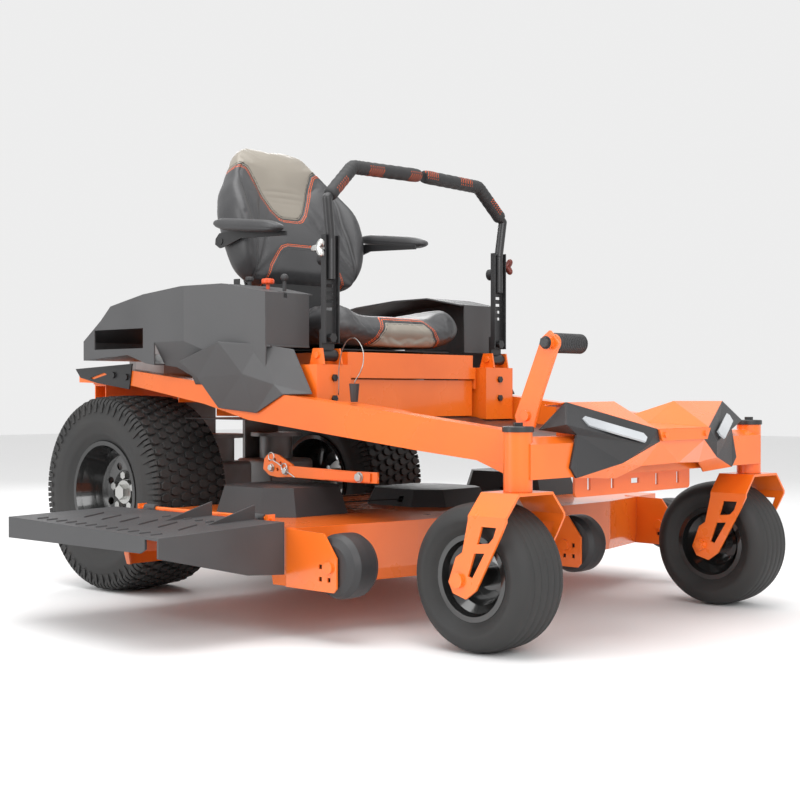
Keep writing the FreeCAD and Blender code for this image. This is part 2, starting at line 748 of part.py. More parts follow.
def cushion_outline(half, corner):
    """A rounded plan outline between the front edge and the back's root."""
    return [(-half + corner, -731), (half - corner, -731), (half, -731 + corner), (half, -306),
            (half - corner, -270), (-half + corner, -270), (-half, -306), (-half, -731 + corner)]


def seat_cushion():
    shape = flat_plate(cushion_outline(seat_half, 60), cushion_low, cushion_high)
    bolsters = [flat_plate([(s * seat_half, -660), (s * seat_half, -300), (s * (seat_half - 90), -300),
                            (s * (seat_half - 90), -620)], cushion_high - 10, cushion_high + 40)
                for s in (-1, 1)]
    return fuse(shape, *bolsters)


def seat_back():
    y = back_root[0]
    half = [(205, 872), (244, 930), (back_half, 1005), (back_half, 1105), (236, 1165), (196, 1225),
            (160, 1275), (110, 1334)]
    outline = half + [(-x, z) for x, z in half[::-1]]
    slab = front_plate(outline, y - 42, y + 62)
    for s in (-1, 1):
        slab = slab.fuse(front_plate([(s * x, z) for x, z in
                                      ((190, 915), (240, 930), (back_half, 1005), (back_half, 1100),
                                       (234, 1160), (190, 1175))], y - 105, y - 42))
    slab = back_plane(slab)
    slab = slab.cut(rod((-arm_in - 8, arm_pin_y, arm_pin_z), (arm_in + 8, arm_pin_y, arm_pin_z), arm_pin_r))
    return slab.cut(fuse(*arm_pin_lugs())).cut(box(-150, 150, -268, -190, 880, 886)).cut(
        box(-150, 150, -268, -262, 800, 900))


add("seat_cushion", seat_cushion())
add("seat_back", seat_back())


def armrest(s):
    y, z = arm_pin_y, arm_pin_z
    pad = side_plate([(-504, 1006), (-504, 1030), (-230, 1064), (-230, 1037)], arm_in + 6, arm_in + 64)
    pad = rounded(pad, 9, lambda e: e.Length > 25)
    arm = side_plate([(-490, 1000), (-490, 1016), (-236, 1046), (-104, 1031), (-104, 1013), (-190, 995),
                      (y, z - 15), (-300, 994)], arm_in, arm_in + 6)
    arm = arm.cut(rod((200, y, z), (400, y, z), arm_pin_r + running_fit))
    return sided(fuse(pad, arm), s)


for side, s in SIDES:
    add(f"armrest_{side}", armrest(s))


# ---- deck: shell, belt covers, spindles with blades, anti-scalp wheels, chute ----
front_flat = (-330, 486)
deck_outline = [(deck_right, deck_rear), (deck_right, -985), (front_flat[0], deck_front),
                (front_flat[1], deck_front), (deck_left, -960), (deck_left, -480),
                (deck_left - 150, deck_rear)]
spindles = (("right", deck_offset - spindle_pitch, -600), ("middle", deck_offset, -690),
            ("left", deck_offset + spindle_pitch, -600))
scalp_wheels = (("right", deck_right + 50, -1098, 174), ("middle", deck_offset + 41, -1190, 174),
                ("left", deck_left - 105, -1074, 178))


def scalp_bracket(x, y, z, front, ahead):
    """Two cheeks on the deck's front wall that hold one anti-scalp wheel's bolt.

    The outer cheek has a square of four holes; the bolt sits in the front or the rear upper one."""
    reach = scalp_wheel_w / 2 + 3
    nose = y - 24 - ahead
    outline = [(front, deck_low), (nose + 10, deck_low), (nose, deck_low + 10), (nose, z + 22),
               (nose + 42, z + 76), (front, z + 80)]
    cheeks = [side_plate(outline, x - reach - 5, x - reach),
              side_plate([(front, z - 40), (y - 20, z - 16), (y - 20, z + 16), (front, z + 70)], x + reach,
                         x + reach + 5)]
    step = -28 if ahead else 28
    for a, b in ((step, 0), (0, -28), (step, -28)):
        cheeks[0] = cheeks[0].cut(box(x - reach - 9, x - reach + 4, y + a - 5, y + a + 5, z + b - 5,
                                      z + b + 5))
    bolt = rod((x - reach - 5, y, z), (x + reach + 5, y, z), scalp_bolt_r)
    head = rod((x - reach - 5, y, z), (x - reach - 11, y, z), 14)
    nut = hexagon((x + reach + 5, y, z), 24, 13, (1, 0, 0))
    return [c.cut(bolt) for c in cheeks], fuse(bolt, head, nut)


def deck_skirt(low_outline, high_outline, low, high):
    return Part.makeLoft([polygon([(x, y, low) for x, y in low_outline]),
                          polygon([(x, y, high) for x, y in high_outline])], True, True)


def deck_shell():
    fold = deck_low + 28
    flared = inset(deck_outline, -5)
    outer = fuse(flat_plate(deck_outline, fold, deck_high), deck_skirt(flared, deck_outline, deck_low, fold))
    inner = fuse(flat_plate(inset(deck_outline, deck_wall), fold, deck_high - deck_wall),
                 deck_skirt(inset(flared, deck_wall), inset(deck_outline, deck_wall), deck_low, fold))
    shape = outer.cut(inner)
    mouth = box(deck_right - 10, deck_right + 60, -900, -340, deck_low - 1, deck_high - 30)
    shape = shape.cut(mouth)
    for name, x, y in spindles:
        shape = shape.cut(rod((x, y, 0), (x, y, 400), spindle_r + running_fit))
    bolts = []
    for name, x, y, z in scalp_wheels:
        front, ahead = {"right": (-955, 0), "middle": (deck_front + 3, 28), "left": (-955, 28)}[name]
        cheeks, bolt = scalp_bracket(x, y, z, front, ahead)
        cheeks = [c.cut(inner) for c in cheeks]
        shape = fuse(shape, *cheeks)
        bolts.append(bolt)
    lugs = [box(deck_right + 2, deck_right + 26, y - 4, y + 4, deck_high, deck_high + 24)
            for y in (-880, -380)]
    pin = rod((chute_hinge_x, -890, chute_hinge_z), (chute_hinge_x, -370, chute_hinge_z), 5)
    lugs = [g.cut(pin) for g in lugs]
    return group(fuse(shape, *lugs), pin, *bolts)


chute_barrels = (-840, -420)
chute_hinge_x = deck_right + 14
chute_hinge_z = deck_high + 14
add("deck_shell", deck_shell())


belt_z = deck_high + 18
pulley_groove_r = 58


def belt_loop(r_out, r_in, low, high):
    """A flat loop round the three spindle axes."""
    shape = None
    for r_loop in (r_out, r_in):
        discs = [rod((x, y, low), (x, y, high), r_loop) for _, x, y in spindles]
        for (_, ax, ay), (_, bx, by) in ((spindles[0], spindles[2]), (spindles[0], spindles[1]),
                                         (spindles[1], spindles[2])):
            run = V(bx - ax, by - ay, 0)
            side = V(-run.y, run.x, 0).normalize() * r_loop
            corners = [V(ax, ay, low) + side, V(bx, by, low) + side, V(bx, by, low) - side,
                       V(ax, ay, low) - side]
            discs.append(prism([tuple(c) for c in corners], (0, 0, high - low)))
        triangle = prism([(x, y, low) for _, x, y in spindles], (0, 0, high - low))
        loop = fuse(*discs, triangle)
        shape = loop if shape is None else shape.cut(loop)
    return shape


def belt_covers():
    """Two covers over the outer spindles and one low bridge between them."""
    shape = None
    for x, y, w, d, h in ((spindles[0][1], -640, 150, 150, 72), (spindles[2][1], -640, 150, 150, 72),
                          (spindles[1][1], -700, 150, 150, 46)):
        plan = [(x - w, y - d * 0.5), (x - w * 0.6, y - d), (x + w * 0.6, y - d), (x + w, y - d * 0.5),
                (x + w, y + d * 0.6), (x + w * 0.6, y + d), (x - w * 0.6, y + d), (x - w, y + d * 0.6)]
        top = inset(plan, 22)
        outer = Part.makeLoft([polygon([(a, b, deck_high) for a, b in plan]),
                               polygon([(a, b, deck_high + h) for a, b in top])], True, True)
        inner = Part.makeLoft([polygon([(a, b, deck_high - 1) for a, b in inset(plan, sheet)]),
                               polygon([(a, b, deck_high + h - sheet) for a, b in inset(top, sheet)])],
                              True, True)
        cover = outer.cut(inner).cut(belt_loop(pulley_groove_r + 14, pulley_groove_r - 5, belt_z - 6,
                                               belt_z + 9))
        shape = group(cover) if shape is None else group(*shape.Solids, cover)
    return shape


add("belt_covers", belt_covers())


def spindle(x, y):
    z = deck_low + 26
    shaft = rod((x, y, z - 6), (x, y, deck_high + 34), spindle_r)
    blade = box(x - blade_r, x + blade_r, y - 31, y + 31, z, z + 6)
    sweep = rod((x, y, z - 1), (x, y, z + 7), blade_r)
    blade = blade.common(sweep)
    tips = [box(x + k * 150 - 70, x + k * 150 + 70, y + k * 31 - 6, y + k * 31 + 6, z, z + 24)
            .common(rod((x, y, z - 1), (x, y, z + 30), blade_r)) for k in (-1, 1)]
    pulley = turned([(0, spindle_r - 1), (0, 66), (4, 66), (9, 58), (13, 58), (18, 66), (22, 66),
                     (22, spindle_r - 1)], (x, y, deck_high + 8), (0, 0, 1))
    return fuse(shaft, blade, *tips, pulley)


for name, x, y in spindles:
    add(f"spindle_{name}", spindle(x, y))


add("deck_belt", belt_loop(pulley_groove_r + 8, pulley_groove_r + 1, belt_z, belt_z + 3))


def scalp_wheel(x, y, z):
    h = scalp_wheel_w / 2
    r = scalp_wheel_r
    b = scalp_bolt_r + running_fit
    return turned([(-h, b), (-h, r - 26), (-h + 8, r - 9), (-h + 22, r - 1), (0, r), (h - 22, r - 1),
                   (h - 8, r - 9), (h, r - 26), (h, b)], (x, y, z))


for name, x, y, z in scalp_wheels:
    add(f"scalp_wheel_{name}", scalp_wheel(x, y, z))


def chute():
    """A moulded grass deflector: a top that falls outwards, folded lips, gussets and hinge barrels."""
    y0, y1 = -952, -292
    x_in, z_in = deck_right - 6, chute_hinge_z - 8
    front_corner = V(deck_right - chute_reach, y0, z_in - 12)
    rear_corner = front_corner + V(62, y1 + 34 - y0, 2)

    def edge(share, drop):
        return front_corner + (rear_corner - front_corner) * share - V(0, 0, drop)

    top = fuse(prism([(x_in, y0, z_in), (x_in, y1, z_in), rear_corner], (0, 0, chute_thick)),
               prism([(x_in, y0, z_in), rear_corner, front_corner], (0, 0, chute_thick)))
    front = front_plate([(x_in, z_in), (front_corner.x, front_corner.z),
                         (front_corner.x, front_corner.z - 38), (x_in - 110, z_in - 108),
                         (x_in, z_in - 116)], y0, y0 + chute_thick)
    outer = prism([edge(0.08, 0), edge(1, 0), edge(1, 46), edge(0.11, 32), edge(0.08, 22)],
                  (chute_thick, 0, 0))
    rear = prism([(x_in, y1, z_in), rear_corner, edge(1, 46), (x_in, y1, z_in - 60)],
                 (0, -chute_thick, 0))
    arms = [box(x_in - 2, chute_hinge_x, y - 8, y + 8, z_in, z_in + chute_thick + 2)
            for y in chute_barrels]
    barrels = [rod((chute_hinge_x, y - 22, chute_hinge_z), (chute_hinge_x, y + 22, chute_hinge_z), 10)
               for y in chute_barrels]
    gussets = [prism([(x_in, y, z_in + 2), (x_in - 150, y, z_in), (x_in, y, z_in + 40)], (0, 5, 0))
               for y in (chute_barrels[0] - 8, chute_barrels[0] + 150)]
    shape = fuse(top, front, outer, rear, *arms, *barrels, *gussets)
    return shape.cut(rod((chute_hinge_x, -1000, chute_hinge_z), (chute_hinge_x, -200, chute_hinge_z),
                         5 + running_fit))


add("chute", chute())


# ---- foot pedal for the deck lift ----
pedal_x = 392
pedal_y, pedal_z = -1434, 516


def lift_pedal():
    lever = side_plate([(pedal_y - 22, pedal_z - 26), (pedal_y + 24, pedal_z - 26), (pedal_y + 30, pedal_z),
                        (pedal_y + 10, pedal_z + 46), (pedal_y - 44, pedal_z + 172),
                        (pedal_y - 66, pedal_z + 188), (pedal_y - 92, pedal_z + 160),
                        (pedal_y - 44, pedal_z + 44), (pedal_y - 30, pedal_z)], -pedal_x - 8, -pedal_x)
    pin = rod((-pedal_x - 8, pedal_y, pedal_z), (-pedal_x - 14, pedal_y, pedal_z), 12)
    grip_y, grip_z = pedal_y - 66, pedal_z + 161
    grip_rod = rod((-pedal_x, grip_y, grip_z), (-pedal_x + 106, grip_y, grip_z), 20)
    cap = rod((-pedal_x - 8, grip_y, grip_z), (-pedal_x - 20, grip_y, grip_z), 12)
    return group(fuse(lever, pin), grip_rod, cap)


add("lift_pedal", lift_pedal())


# ---- deck height pin, which stands in the shelf on the right rail ----
pin_grip_low = pin_z + 3


def height_pin():
    handle = Part.makeCone(9, 13, 46, V(pin_x, pin_y, pin_grip_low), V(0, 0, 1))
    return handle


add("height_pin", height_pin())


# ---- lanyard: thin steel cable from a stud on the tower to the pin's handle ----
lanyard_r = 1.3
lanyard_route = [(-328, -764, 562), (-329, -767, 592), (-332, -768, 628), (-337, -784, 672),
                 (-344, -808, 699), (-352, -838, 708), (-361, -870, 699), (-371, -898, 672),
                 (-381, -908, 640), (-389, -902, 614), (-393, -892, 600), (-394, -888, 590.7)]


def cable(points, r):
    """Straight runs joined by tangent arcs, swept with a round section."""
    edges = []
    start = V(*points[0])
    for a, b, c in zip(points, points[1:], points[2:]):
        a, b, c = V(*a), V(*b), V(*c)
        u, w = (a - b).normalize(), (c - b).normalize()
        reach = 0.45 * min((a - b).Length, (c - b).Length)
        p, q = b + u * reach, b + w * reach
        middle = (u + w).normalize()
        half = math.acos(max(-1, min(1, u.dot(w)))) / 2
        bend = reach * math.tan(half)
        m = b + middle * (reach / math.cos(half) - bend)
        edges.append(Part.LineSegment(start, p).toShape())
        edges.append(Part.Arc(p, m, q).toShape())
        start = q
        LANYARD_BENDS.append(round(bend, 1))
    edges.append(Part.LineSegment(start, V(*points[-1])).toShape())
    path = Part.Wire(edges)
    along = V(*points[1]) - V(*points[0])
    section = Part.Wire(Part.makeCircle(r, V(*points[0]), along))
    return path.makePipeShell([section], True, True), path.Length


LANYARD_BENDS = []
lanyard, lanyard_length = cable(lanyard_route, lanyard_r)
add("lanyard", lanyard)
print("lanyard length", round(lanyard_length, 1), "bends", LANYARD_BENDS,
      "volume ratio", round(lanyard.Volume / (math.pi * lanyard_r ** 2 * lanyard_length), 3))


# ---- black hexagon bolts on the front of the lap bar towers ----
def chassis_bolts():
    bolts = []
    for s in (-1, 1):
        for z in (552, 606):
            bolts.append(hexagon((s * (arm_x - 5), -757, z), 17, 6, (0, -1, 0)))
    return group(*bolts)


add("chassis_bolts", chassis_bolts())


# ---- origin and files ----
def place_and_write():
    low, high = V(1e9, 1e9, 1e9), V(-1e9, -1e9, -1e9)
    for shape in PARTS.values():
        b = shape.optimalBoundingBox(False, False)
        low = V(min(low.x, b.XMin), min(low.y, b.YMin), min(low.z, b.ZMin))
        high = V(max(high.x, b.XMax), max(high.y, b.YMax), max(high.z, b.ZMax))
    shift = V(-(low.x + high.x) / 2, -(low.y + high.y) / 2, -low.z)
    os.makedirs("parts", exist_ok=True)
    for name, shape in PARTS.items():
        moved = shape.copy()
        moved.translate(shift)
        moved.exportStep(f"parts/{name}.step")
    print("shift", [round(c, 4) for c in shift], "size", [round(c, 2) for c in high - low])
    print("nodes", len(PARTS))


place_and_write()
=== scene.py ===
# A ride-on zero turn mower, dressed around its CAD model: camera and floor first, then piece by piece.
import bpy
import bmesh
import json
import math
import numpy as np
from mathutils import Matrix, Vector


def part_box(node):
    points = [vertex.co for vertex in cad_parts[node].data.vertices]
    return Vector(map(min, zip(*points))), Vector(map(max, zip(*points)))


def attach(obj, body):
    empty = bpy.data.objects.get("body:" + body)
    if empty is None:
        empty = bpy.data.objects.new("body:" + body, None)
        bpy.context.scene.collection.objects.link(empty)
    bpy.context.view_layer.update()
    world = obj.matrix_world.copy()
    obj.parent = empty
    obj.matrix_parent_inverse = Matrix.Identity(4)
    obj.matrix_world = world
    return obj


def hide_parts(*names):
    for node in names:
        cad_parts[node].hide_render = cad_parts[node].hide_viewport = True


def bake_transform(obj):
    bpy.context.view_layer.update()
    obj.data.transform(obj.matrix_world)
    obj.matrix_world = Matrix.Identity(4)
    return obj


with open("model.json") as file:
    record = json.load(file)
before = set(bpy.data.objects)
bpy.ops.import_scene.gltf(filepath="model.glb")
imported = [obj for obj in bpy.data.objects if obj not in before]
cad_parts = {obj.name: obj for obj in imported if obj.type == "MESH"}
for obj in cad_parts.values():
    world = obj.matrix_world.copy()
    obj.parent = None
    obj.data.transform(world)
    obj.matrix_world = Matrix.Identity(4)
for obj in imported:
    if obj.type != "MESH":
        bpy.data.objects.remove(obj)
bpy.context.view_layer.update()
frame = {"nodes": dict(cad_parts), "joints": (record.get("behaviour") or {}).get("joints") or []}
nodes = frame["nodes"]

# ---- Camera: the rear axle's joints give the machine's mid-plane and axle, which every place below
# is measured from, in millimetres: X to the operator's left, Y to the rear, Z up from the ground.
axle = [j["pos_m"] for j in frame["joints"] if j["name"].startswith("rear_wheel")]
mid_x = sum(p[0] for p in axle) / 2
axle_y = axle[0][1]


def at(x, y, z):
    return Vector((mid_x + x / 1000, axle_y + y / 1000, z / 1000))


eye = bpy.data.cameras.new("photo_camera")
eye.lens = 63.9
eye.sensor_width = 36
eye.shift_y = 0.0064
eye.clip_end = 60
camera = bpy.data.objects.new("photo_camera", eye)
bpy.context.scene.collection.objects.link(camera)
camera.location = at(-2893.5, -3397.5, 567.8)
camera.rotation_euler = (math.radians(90 - 0.51), 0, math.radians(-46.73))
bpy.context.scene.camera = camera


# ---- Floor and light: a plain pale studio floor and large soft lamps.
def shade(name):
    """A new node material with its Principled shader."""
    mat = bpy.data.materials.new(name)
    mat.use_nodes = True
    return mat, mat.node_tree.nodes, mat.node_tree.links, mat.node_tree.nodes["Principled BSDF"]


def link_up(name, data):
    obj = bpy.data.objects.new(name, data)
    bpy.context.scene.collection.objects.link(obj)
    return obj


floor_mat, fn, fl, fs = shade("studio_floor")
fs.inputs["Roughness"].default_value = 0.6
speck = fn.new("ShaderNodeTexNoise")
speck.inputs["Scale"].default_value = 3
pale = fn.new("ShaderNodeValToRGB")
pale.color_ramp.elements[0].color = (0.80, 0.80, 0.80, 1)
pale.color_ramp.elements[1].color = (0.86, 0.86, 0.86, 1)
fl.new(speck.outputs["Fac"], pale.inputs["Fac"])
fl.new(pale.outputs["Color"], fs.inputs["Base Color"])
mesh = bpy.data.meshes.new("studio_floor")
mesh.from_pydata([(-14, -14, 0), (14, -14, 0), (14, 14, 0), (-14, 14, 0)], [], [(0, 1, 2, 3)])
mesh.materials.append(floor_mat)
link_up("studio_floor", mesh)

world = bpy.data.worlds.new("studio")
world.use_nodes = True
world.node_tree.nodes["Background"].inputs["Color"].default_value = (1, 1, 1, 1)
world.node_tree.nodes["Background"].inputs["Strength"].default_value = 0.85
bpy.context.scene.world = world


def softbox(name, place, target, size, watts):
    lamp = bpy.data.lights.new(name, "AREA")
    lamp.shape = "RECTANGLE"
    lamp.size, lamp.size_y = size
    lamp.energy = watts
    obj = link_up(name, lamp)
    obj.location = place
    obj.rotation_euler = (target - place).to_track_quat("-Z", "Y").to_euler()


softbox("overhead", at(-600, -900, 3600), at(0, -500, 300), (3.4, 3.4), 110)
softbox("front_fill", at(-1500, -4200, 1900), at(0, -600, 500), (2.6, 1.8), 60)
softbox("side_strip", at(-3800, 300, 1700), at(0, -300, 500), (1.4, 2.6), 55)
softbox("back_rim", at(2600, 2600, 2400), at(0, 0, 700), (2.2, 1.6), 60)
bpy.context.scene.view_settings.view_transform = "Standard"
bpy.context.scene.view_settings.look = "None"

# ---- Lanyard: a thin stranded steel cable with a clear coat, hung in a loop from a stud on the right
# lap bar tower to the handle of the cutting height pin, so that the pin is never lost.
def effect(name, ins, outs):
    """A shader node group with float inputs (name, value) and named outputs."""
    tree = bpy.data.node_groups.new(name, "ShaderNodeTree")
    for label, value in ins:
        s = tree.interface.new_socket(label, in_out="INPUT", socket_type="NodeSocketFloat")
        s.default_value = value
    for label in outs:
        tree.interface.new_socket(label, in_out="OUTPUT", socket_type="NodeSocketFloat")
    entry, leave = tree.nodes.new("NodeGroupInput"), tree.nodes.new("NodeGroupOutput")
    return tree, entry, leave


def patches():
    """Soft uneven patches: where dust lies and where gloss is rubbed."""
    tree, entry, leave = effect("patches", [("Scale", 6), ("Low", 0.35), ("High", 0.7)], ["Mask"])
    place = tree.nodes.new("ShaderNodeTexCoord")
    cloud = tree.nodes.new("ShaderNodeTexNoise")
    cloud.inputs["Detail"].default_value = 5
    ramp = tree.nodes.new("ShaderNodeMapRange")
    tree.links.new(place.outputs["Object"], cloud.inputs["Vector"])
    tree.links.new(entry.outputs["Scale"], cloud.inputs["Scale"])
    tree.links.new(cloud.outputs["Fac"], ramp.inputs["Value"])
    tree.links.new(entry.outputs["Low"], ramp.inputs["From Min"])
    tree.links.new(entry.outputs["High"], ramp.inputs["From Max"])
    tree.links.new(ramp.outputs["Result"], leave.inputs["Mask"])
    return tree


def pebble():
    """Cells with soft dips between them: moulded plastic and leather grain."""
    tree, entry, leave = effect("pebble", [("Scale", 400), ("Fine", 0.3)], ["Height"])
    place = tree.nodes.new("ShaderNodeTexCoord")
    cells = tree.nodes.new("ShaderNodeTexVoronoi")
    cells.feature = "SMOOTH_F1"
    noise = tree.nodes.new("ShaderNodeTexNoise")
    double = tree.nodes.new("ShaderNodeMath")
    double.operation = "MULTIPLY"
    double.inputs[1].default_value = 2.3
    blend = tree.nodes.new("ShaderNodeMix")
    tree.links.new(place.outputs["Object"], cells.inputs["Vector"])
    tree.links.new(place.outputs["Object"], noise.inputs["Vector"])
    tree.links.new(entry.outputs["Scale"], cells.inputs["Scale"])
    tree.links.new(entry.outputs["Scale"], double.inputs[0])
    tree.links.new(double.outputs[0], noise.inputs["Scale"])
    tree.links.new(entry.outputs["Fine"], blend.inputs[0])
    tree.links.new(cells.outputs["Distance"], blend.inputs[2])
    tree.links.new(noise.outputs["Fac"], blend.inputs[3])
    tree.links.new(blend.outputs[0], leave.inputs["Height"])
    return tree


patches_group, pebble_group = patches(), pebble()


def finish(name, colour, worn, rough, metal=0.0, coat=0.0, grain=None, edge=0.0, dust=5.0):
    """Colour that drifts towards a worn tint, roughness that drifts with it, grain and softened edges."""
    mat, n, l, s = shade(name)
    s.inputs["Metallic"].default_value = metal
    s.inputs["Coat Weight"].default_value = coat
    s.inputs["Coat Roughness"].default_value = 0.08
    mask = n.new("ShaderNodeGroup")
    mask.node_tree = patches_group
    mask.inputs["Scale"].default_value = dust
    tint = n.new("ShaderNodeMix")
    tint.data_type = "RGBA"
    tint.inputs[6].default_value = (*colour, 1)
    tint.inputs[7].default_value = (*worn, 1)
    l.new(mask.outputs["Mask"], tint.inputs[0])
    l.new(tint.outputs[2], s.inputs["Base Color"])
    dull = n.new("ShaderNodeMapRange")
    dull.inputs["To Min"].default_value = rough[0]
    dull.inputs["To Max"].default_value = rough[1]
    l.new(mask.outputs["Mask"], dull.inputs["Value"])
    l.new(dull.outputs["Result"], s.inputs["Roughness"])
    if edge:
        soft = n.new("ShaderNodeBevel")
        soft.samples = 4
        soft.inputs["Radius"].default_value = edge
    if grain:
        cells = n.new("ShaderNodeGroup")
        cells.node_tree = pebble_group
        cells.inputs["Scale"].default_value = grain[0]
        bump = n.new("ShaderNodeBump")
        bump.inputs["Strength"].default_value = grain[1]
        bump.inputs["Distance"].default_value = 0.001
        l.new(cells.outputs["Height"], bump.inputs["Height"])
        if edge:
            l.new(soft.outputs["Normal"], bump.inputs["Normal"])
        l.new(bump.outputs["Normal"], s.inputs["Normal"])
    elif edge:
        l.new(soft.outputs["Normal"], s.inputs["Normal"])
    return mat

def dress(material, *names):
    """Give CAD nodes one material."""
    for name in names:
        shown = nodes[name].data.materials
        shown.clear()
        shown.append(material)


cable_steel = finish("cable_steel", (0.42, 0.42, 0.41), (0.30, 0.30, 0.29), (0.25, 0.4), metal=1.0, coat=0.3)
zinc = finish("zinc", (0.62, 0.62, 0.60), (0.50, 0.50, 0.49), (0.28, 0.42), metal=1.0, edge=0.0008)
lanyard_route = [(-328, -764, 562), (-329, -767, 592), (-332, -768, 628), (-337, -784, 672),
                 (-344, -808, 699), (-352, -838, 708), (-361, -870, 699), (-371, -898, 672),
                 (-381, -908, 640), (-389, -902, 614), (-393, -892, 600), (-394, -888, 590.7)]
lanyard_r = 0.0013


def flow(name, places):
    """Points read from a smooth NURBS line that these places guide."""
    line = bpy.data.curves.new(name, "CURVE")
    line.dimensions = "3D"
    line.resolution_u = 10
    spline = line.splines.new("NURBS")
    spline.points.add(len(places) - 1)
    for point, place in zip(spline.points, places):
        point.co = (*at(*place), 1)
    spline.order_u = 3
    spline.use_endpoint_u = True
    holder = link_up(name, line)
    read = bpy.data.meshes.new_from_object(holder.evaluated_get(bpy.context.evaluated_depsgraph_get()))
    points = [v.co.copy() for v in read.vertices]
    bpy.data.objects.remove(holder)
    bpy.data.curves.remove(line)
    bpy.data.meshes.remove(read)
    return points


def note(obj, name, values):
    layer = obj.data.attributes.new(name, "FLOAT", "POINT")
    layer.data.foreach_set("value", np.ascontiguousarray(values, dtype=np.float32))


def tube(name, points, radius, material, sides=12, facing=Vector((0, -1, 0))):
    """A round skin along points; radius is one number or one for each point. Its attributes "along" and
    "round" hold the millimetres along it and the angle about it, from the side that faces front."""
    sizes = radius if isinstance(radius, list) else [radius] * len(points)
    coords, along, angle, far = [], [], [], 0.0
    side = facing
    for k, p in enumerate(points):
        ahead = (points[min(k + 1, len(points) - 1)] - points[max(k - 1, 0)]).normalized()
        side = (side - ahead * side.dot(ahead)).normalized()
        across = ahead.cross(side)
        far += (p - points[k - 1]).length * 1000 if k else 0
        for n in range(sides):
            a = 2 * math.pi * n / sides
            coords.append(p + (side * math.cos(a) + across * math.sin(a)) * sizes[k])
            along.append(far)
            angle.append(a)
    faces = [tuple(range(sides))[::-1], tuple(range(len(coords) - sides, len(coords)))]
    for k in range(len(points) - 1):
        for n in range(sides):
            m = (n + 1) % sides
            faces.append((k * sides + n, k * sides + m, (k + 1) * sides + m, (k + 1) * sides + n))
    data = bpy.data.meshes.new(name)
    data.from_pydata(coords, [], faces)
    data.materials.append(material)
    for f in data.polygons:
        f.use_smooth = len(f.vertices) == 4
    obj = link_up(name, data)
    note(obj, "along", along)
    note(obj, "round", angle)
    return obj


lanyard_line = flow("lanyard_line", lanyard_route)
lanyard = tube("lanyard_cable", lanyard_line, lanyard_r, cable_steel, sides=8)
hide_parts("lanyard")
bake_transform(lanyard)
dress(zinc, "lanyard")

# ---- Frame: welded and folded sheet steel with a thick orange powder coat, and its bolted-on brackets,
# pivots and plates in black.
orange_paint = finish("orange_paint", (0.88, 0.165, 0.012), (0.80, 0.14, 0.010), (0.26, 0.34),
                      coat=0.5, grain=(900, 0.05), edge=0.0022)
black_paint = finish("black_paint", (0.016, 0.016, 0.017), (0.024, 0.024, 0.025), (0.30, 0.42),
                     grain=(900, 0.08), edge=0.0016)
dress(orange_paint, "rail_left", "rail_right", "front_beam", "rear_frame", "seat_base", "seat_pan",
      "foot_cowl", "lap_bar_towers", "caster_fork_left", "caster_fork_right", "accessory_plate", "nose_plate",
      "deck_shell", "lift_pedal")
dress(black_paint, "floor_pan", "rear_guards", "seat_frame", "caster_fittings", "chassis_bolts",
      "control_pivot_left", "control_pivot_right", "lap_bar_left", "lap_bar_right")

# ---- Power train and cutters: cast engine and transaxles, plated hubs, a V belt and ground steel blades.
cast_alloy = finish("cast_alloy", (0.30, 0.30, 0.30), (0.20, 0.20, 0.20), (0.45, 0.6), metal=0.7,
                    grain=(700, 0.3), edge=0.002)
blade_steel = finish("blade_steel", (0.35, 0.34, 0.33), (0.22, 0.21, 0.20), (0.35, 0.5), metal=1.0,
                     edge=0.001)
belt_rubber = finish("belt_rubber", (0.016, 0.016, 0.016), (0.022, 0.022, 0.022), (0.7, 0.8),
                     grain=(600, 0.4))
dress(cast_alloy, "engine", "transaxles")
dress(zinc, "rear_hub_left", "rear_hub_right")
dress(blade_steel, "spindle_left", "spindle_middle", "spindle_right")
dress(belt_rubber, "deck_belt")

# ---- Seat cushion and back: vinyl sewn over foam. Each starts as a slim closed form, is blown up by a
# cloth simulation that its seams hold down, and then carries its seams as distances for the cover.
def numbers(points):
    return np.array([[c * 1000 for c in p] for p in points]) - np.array([mid_x * 1000, axle_y * 1000, 0])


def loft(name, rings, material):
    """Skin between rings of equal length, given in millimetres, each ring a loop."""
    bm = bmesh.new()
    rows = [[bm.verts.new(at(*p)) for p in ring] for ring in rings]
    n = len(rows[0])
    for a, b in zip(rows, rows[1:]):
        for i in range(n):
            j = (i + 1) % n
            bm.faces.new((a[i], a[j], b[j], b[i]))
    bm.faces.new(rows[0][::-1])
    bm.faces.new(rows[-1])
    bmesh.ops.recalc_face_normals(bm, faces=bm.faces)
    data = bpy.data.meshes.new(name)
    bm.to_mesh(data)
    bm.free()
    data.materials.append(material)
    for f in data.polygons:
        f.use_smooth = True
    return link_up(name, data)


def settle(obj):
    """Apply every modifier of the piece to its mesh."""
    deps = bpy.context.evaluated_depsgraph_get()
    data = bpy.data.meshes.new_from_object(obj.evaluated_get(deps))
    obj.modifiers.clear()
    old = obj.data
    obj.data = data
    data.name = obj.name
    bpy.data.meshes.remove(old)
    for f in data.polygons:
        f.use_smooth = True
    return obj


def to_line(points, line):
    """Distance from points to a polyline and the way along it, in millimetres."""
    best = np.full(len(points), 1e9)
    along = np.zeros(len(points))
    start = 0.0
    line = np.array(line, float)
    for a, b in zip(line, line[1:]):
        run = b - a
        long = np.linalg.norm(run)
        t = np.clip(((points - a) @ run) / long ** 2, 0, 1)
        gap = np.linalg.norm(points - a - t[:, None] * run, axis=1)
        near = gap < best
        best = np.where(near, gap, best)
        along = np.where(near, start + t * long, along)
        start += long
    return best, along


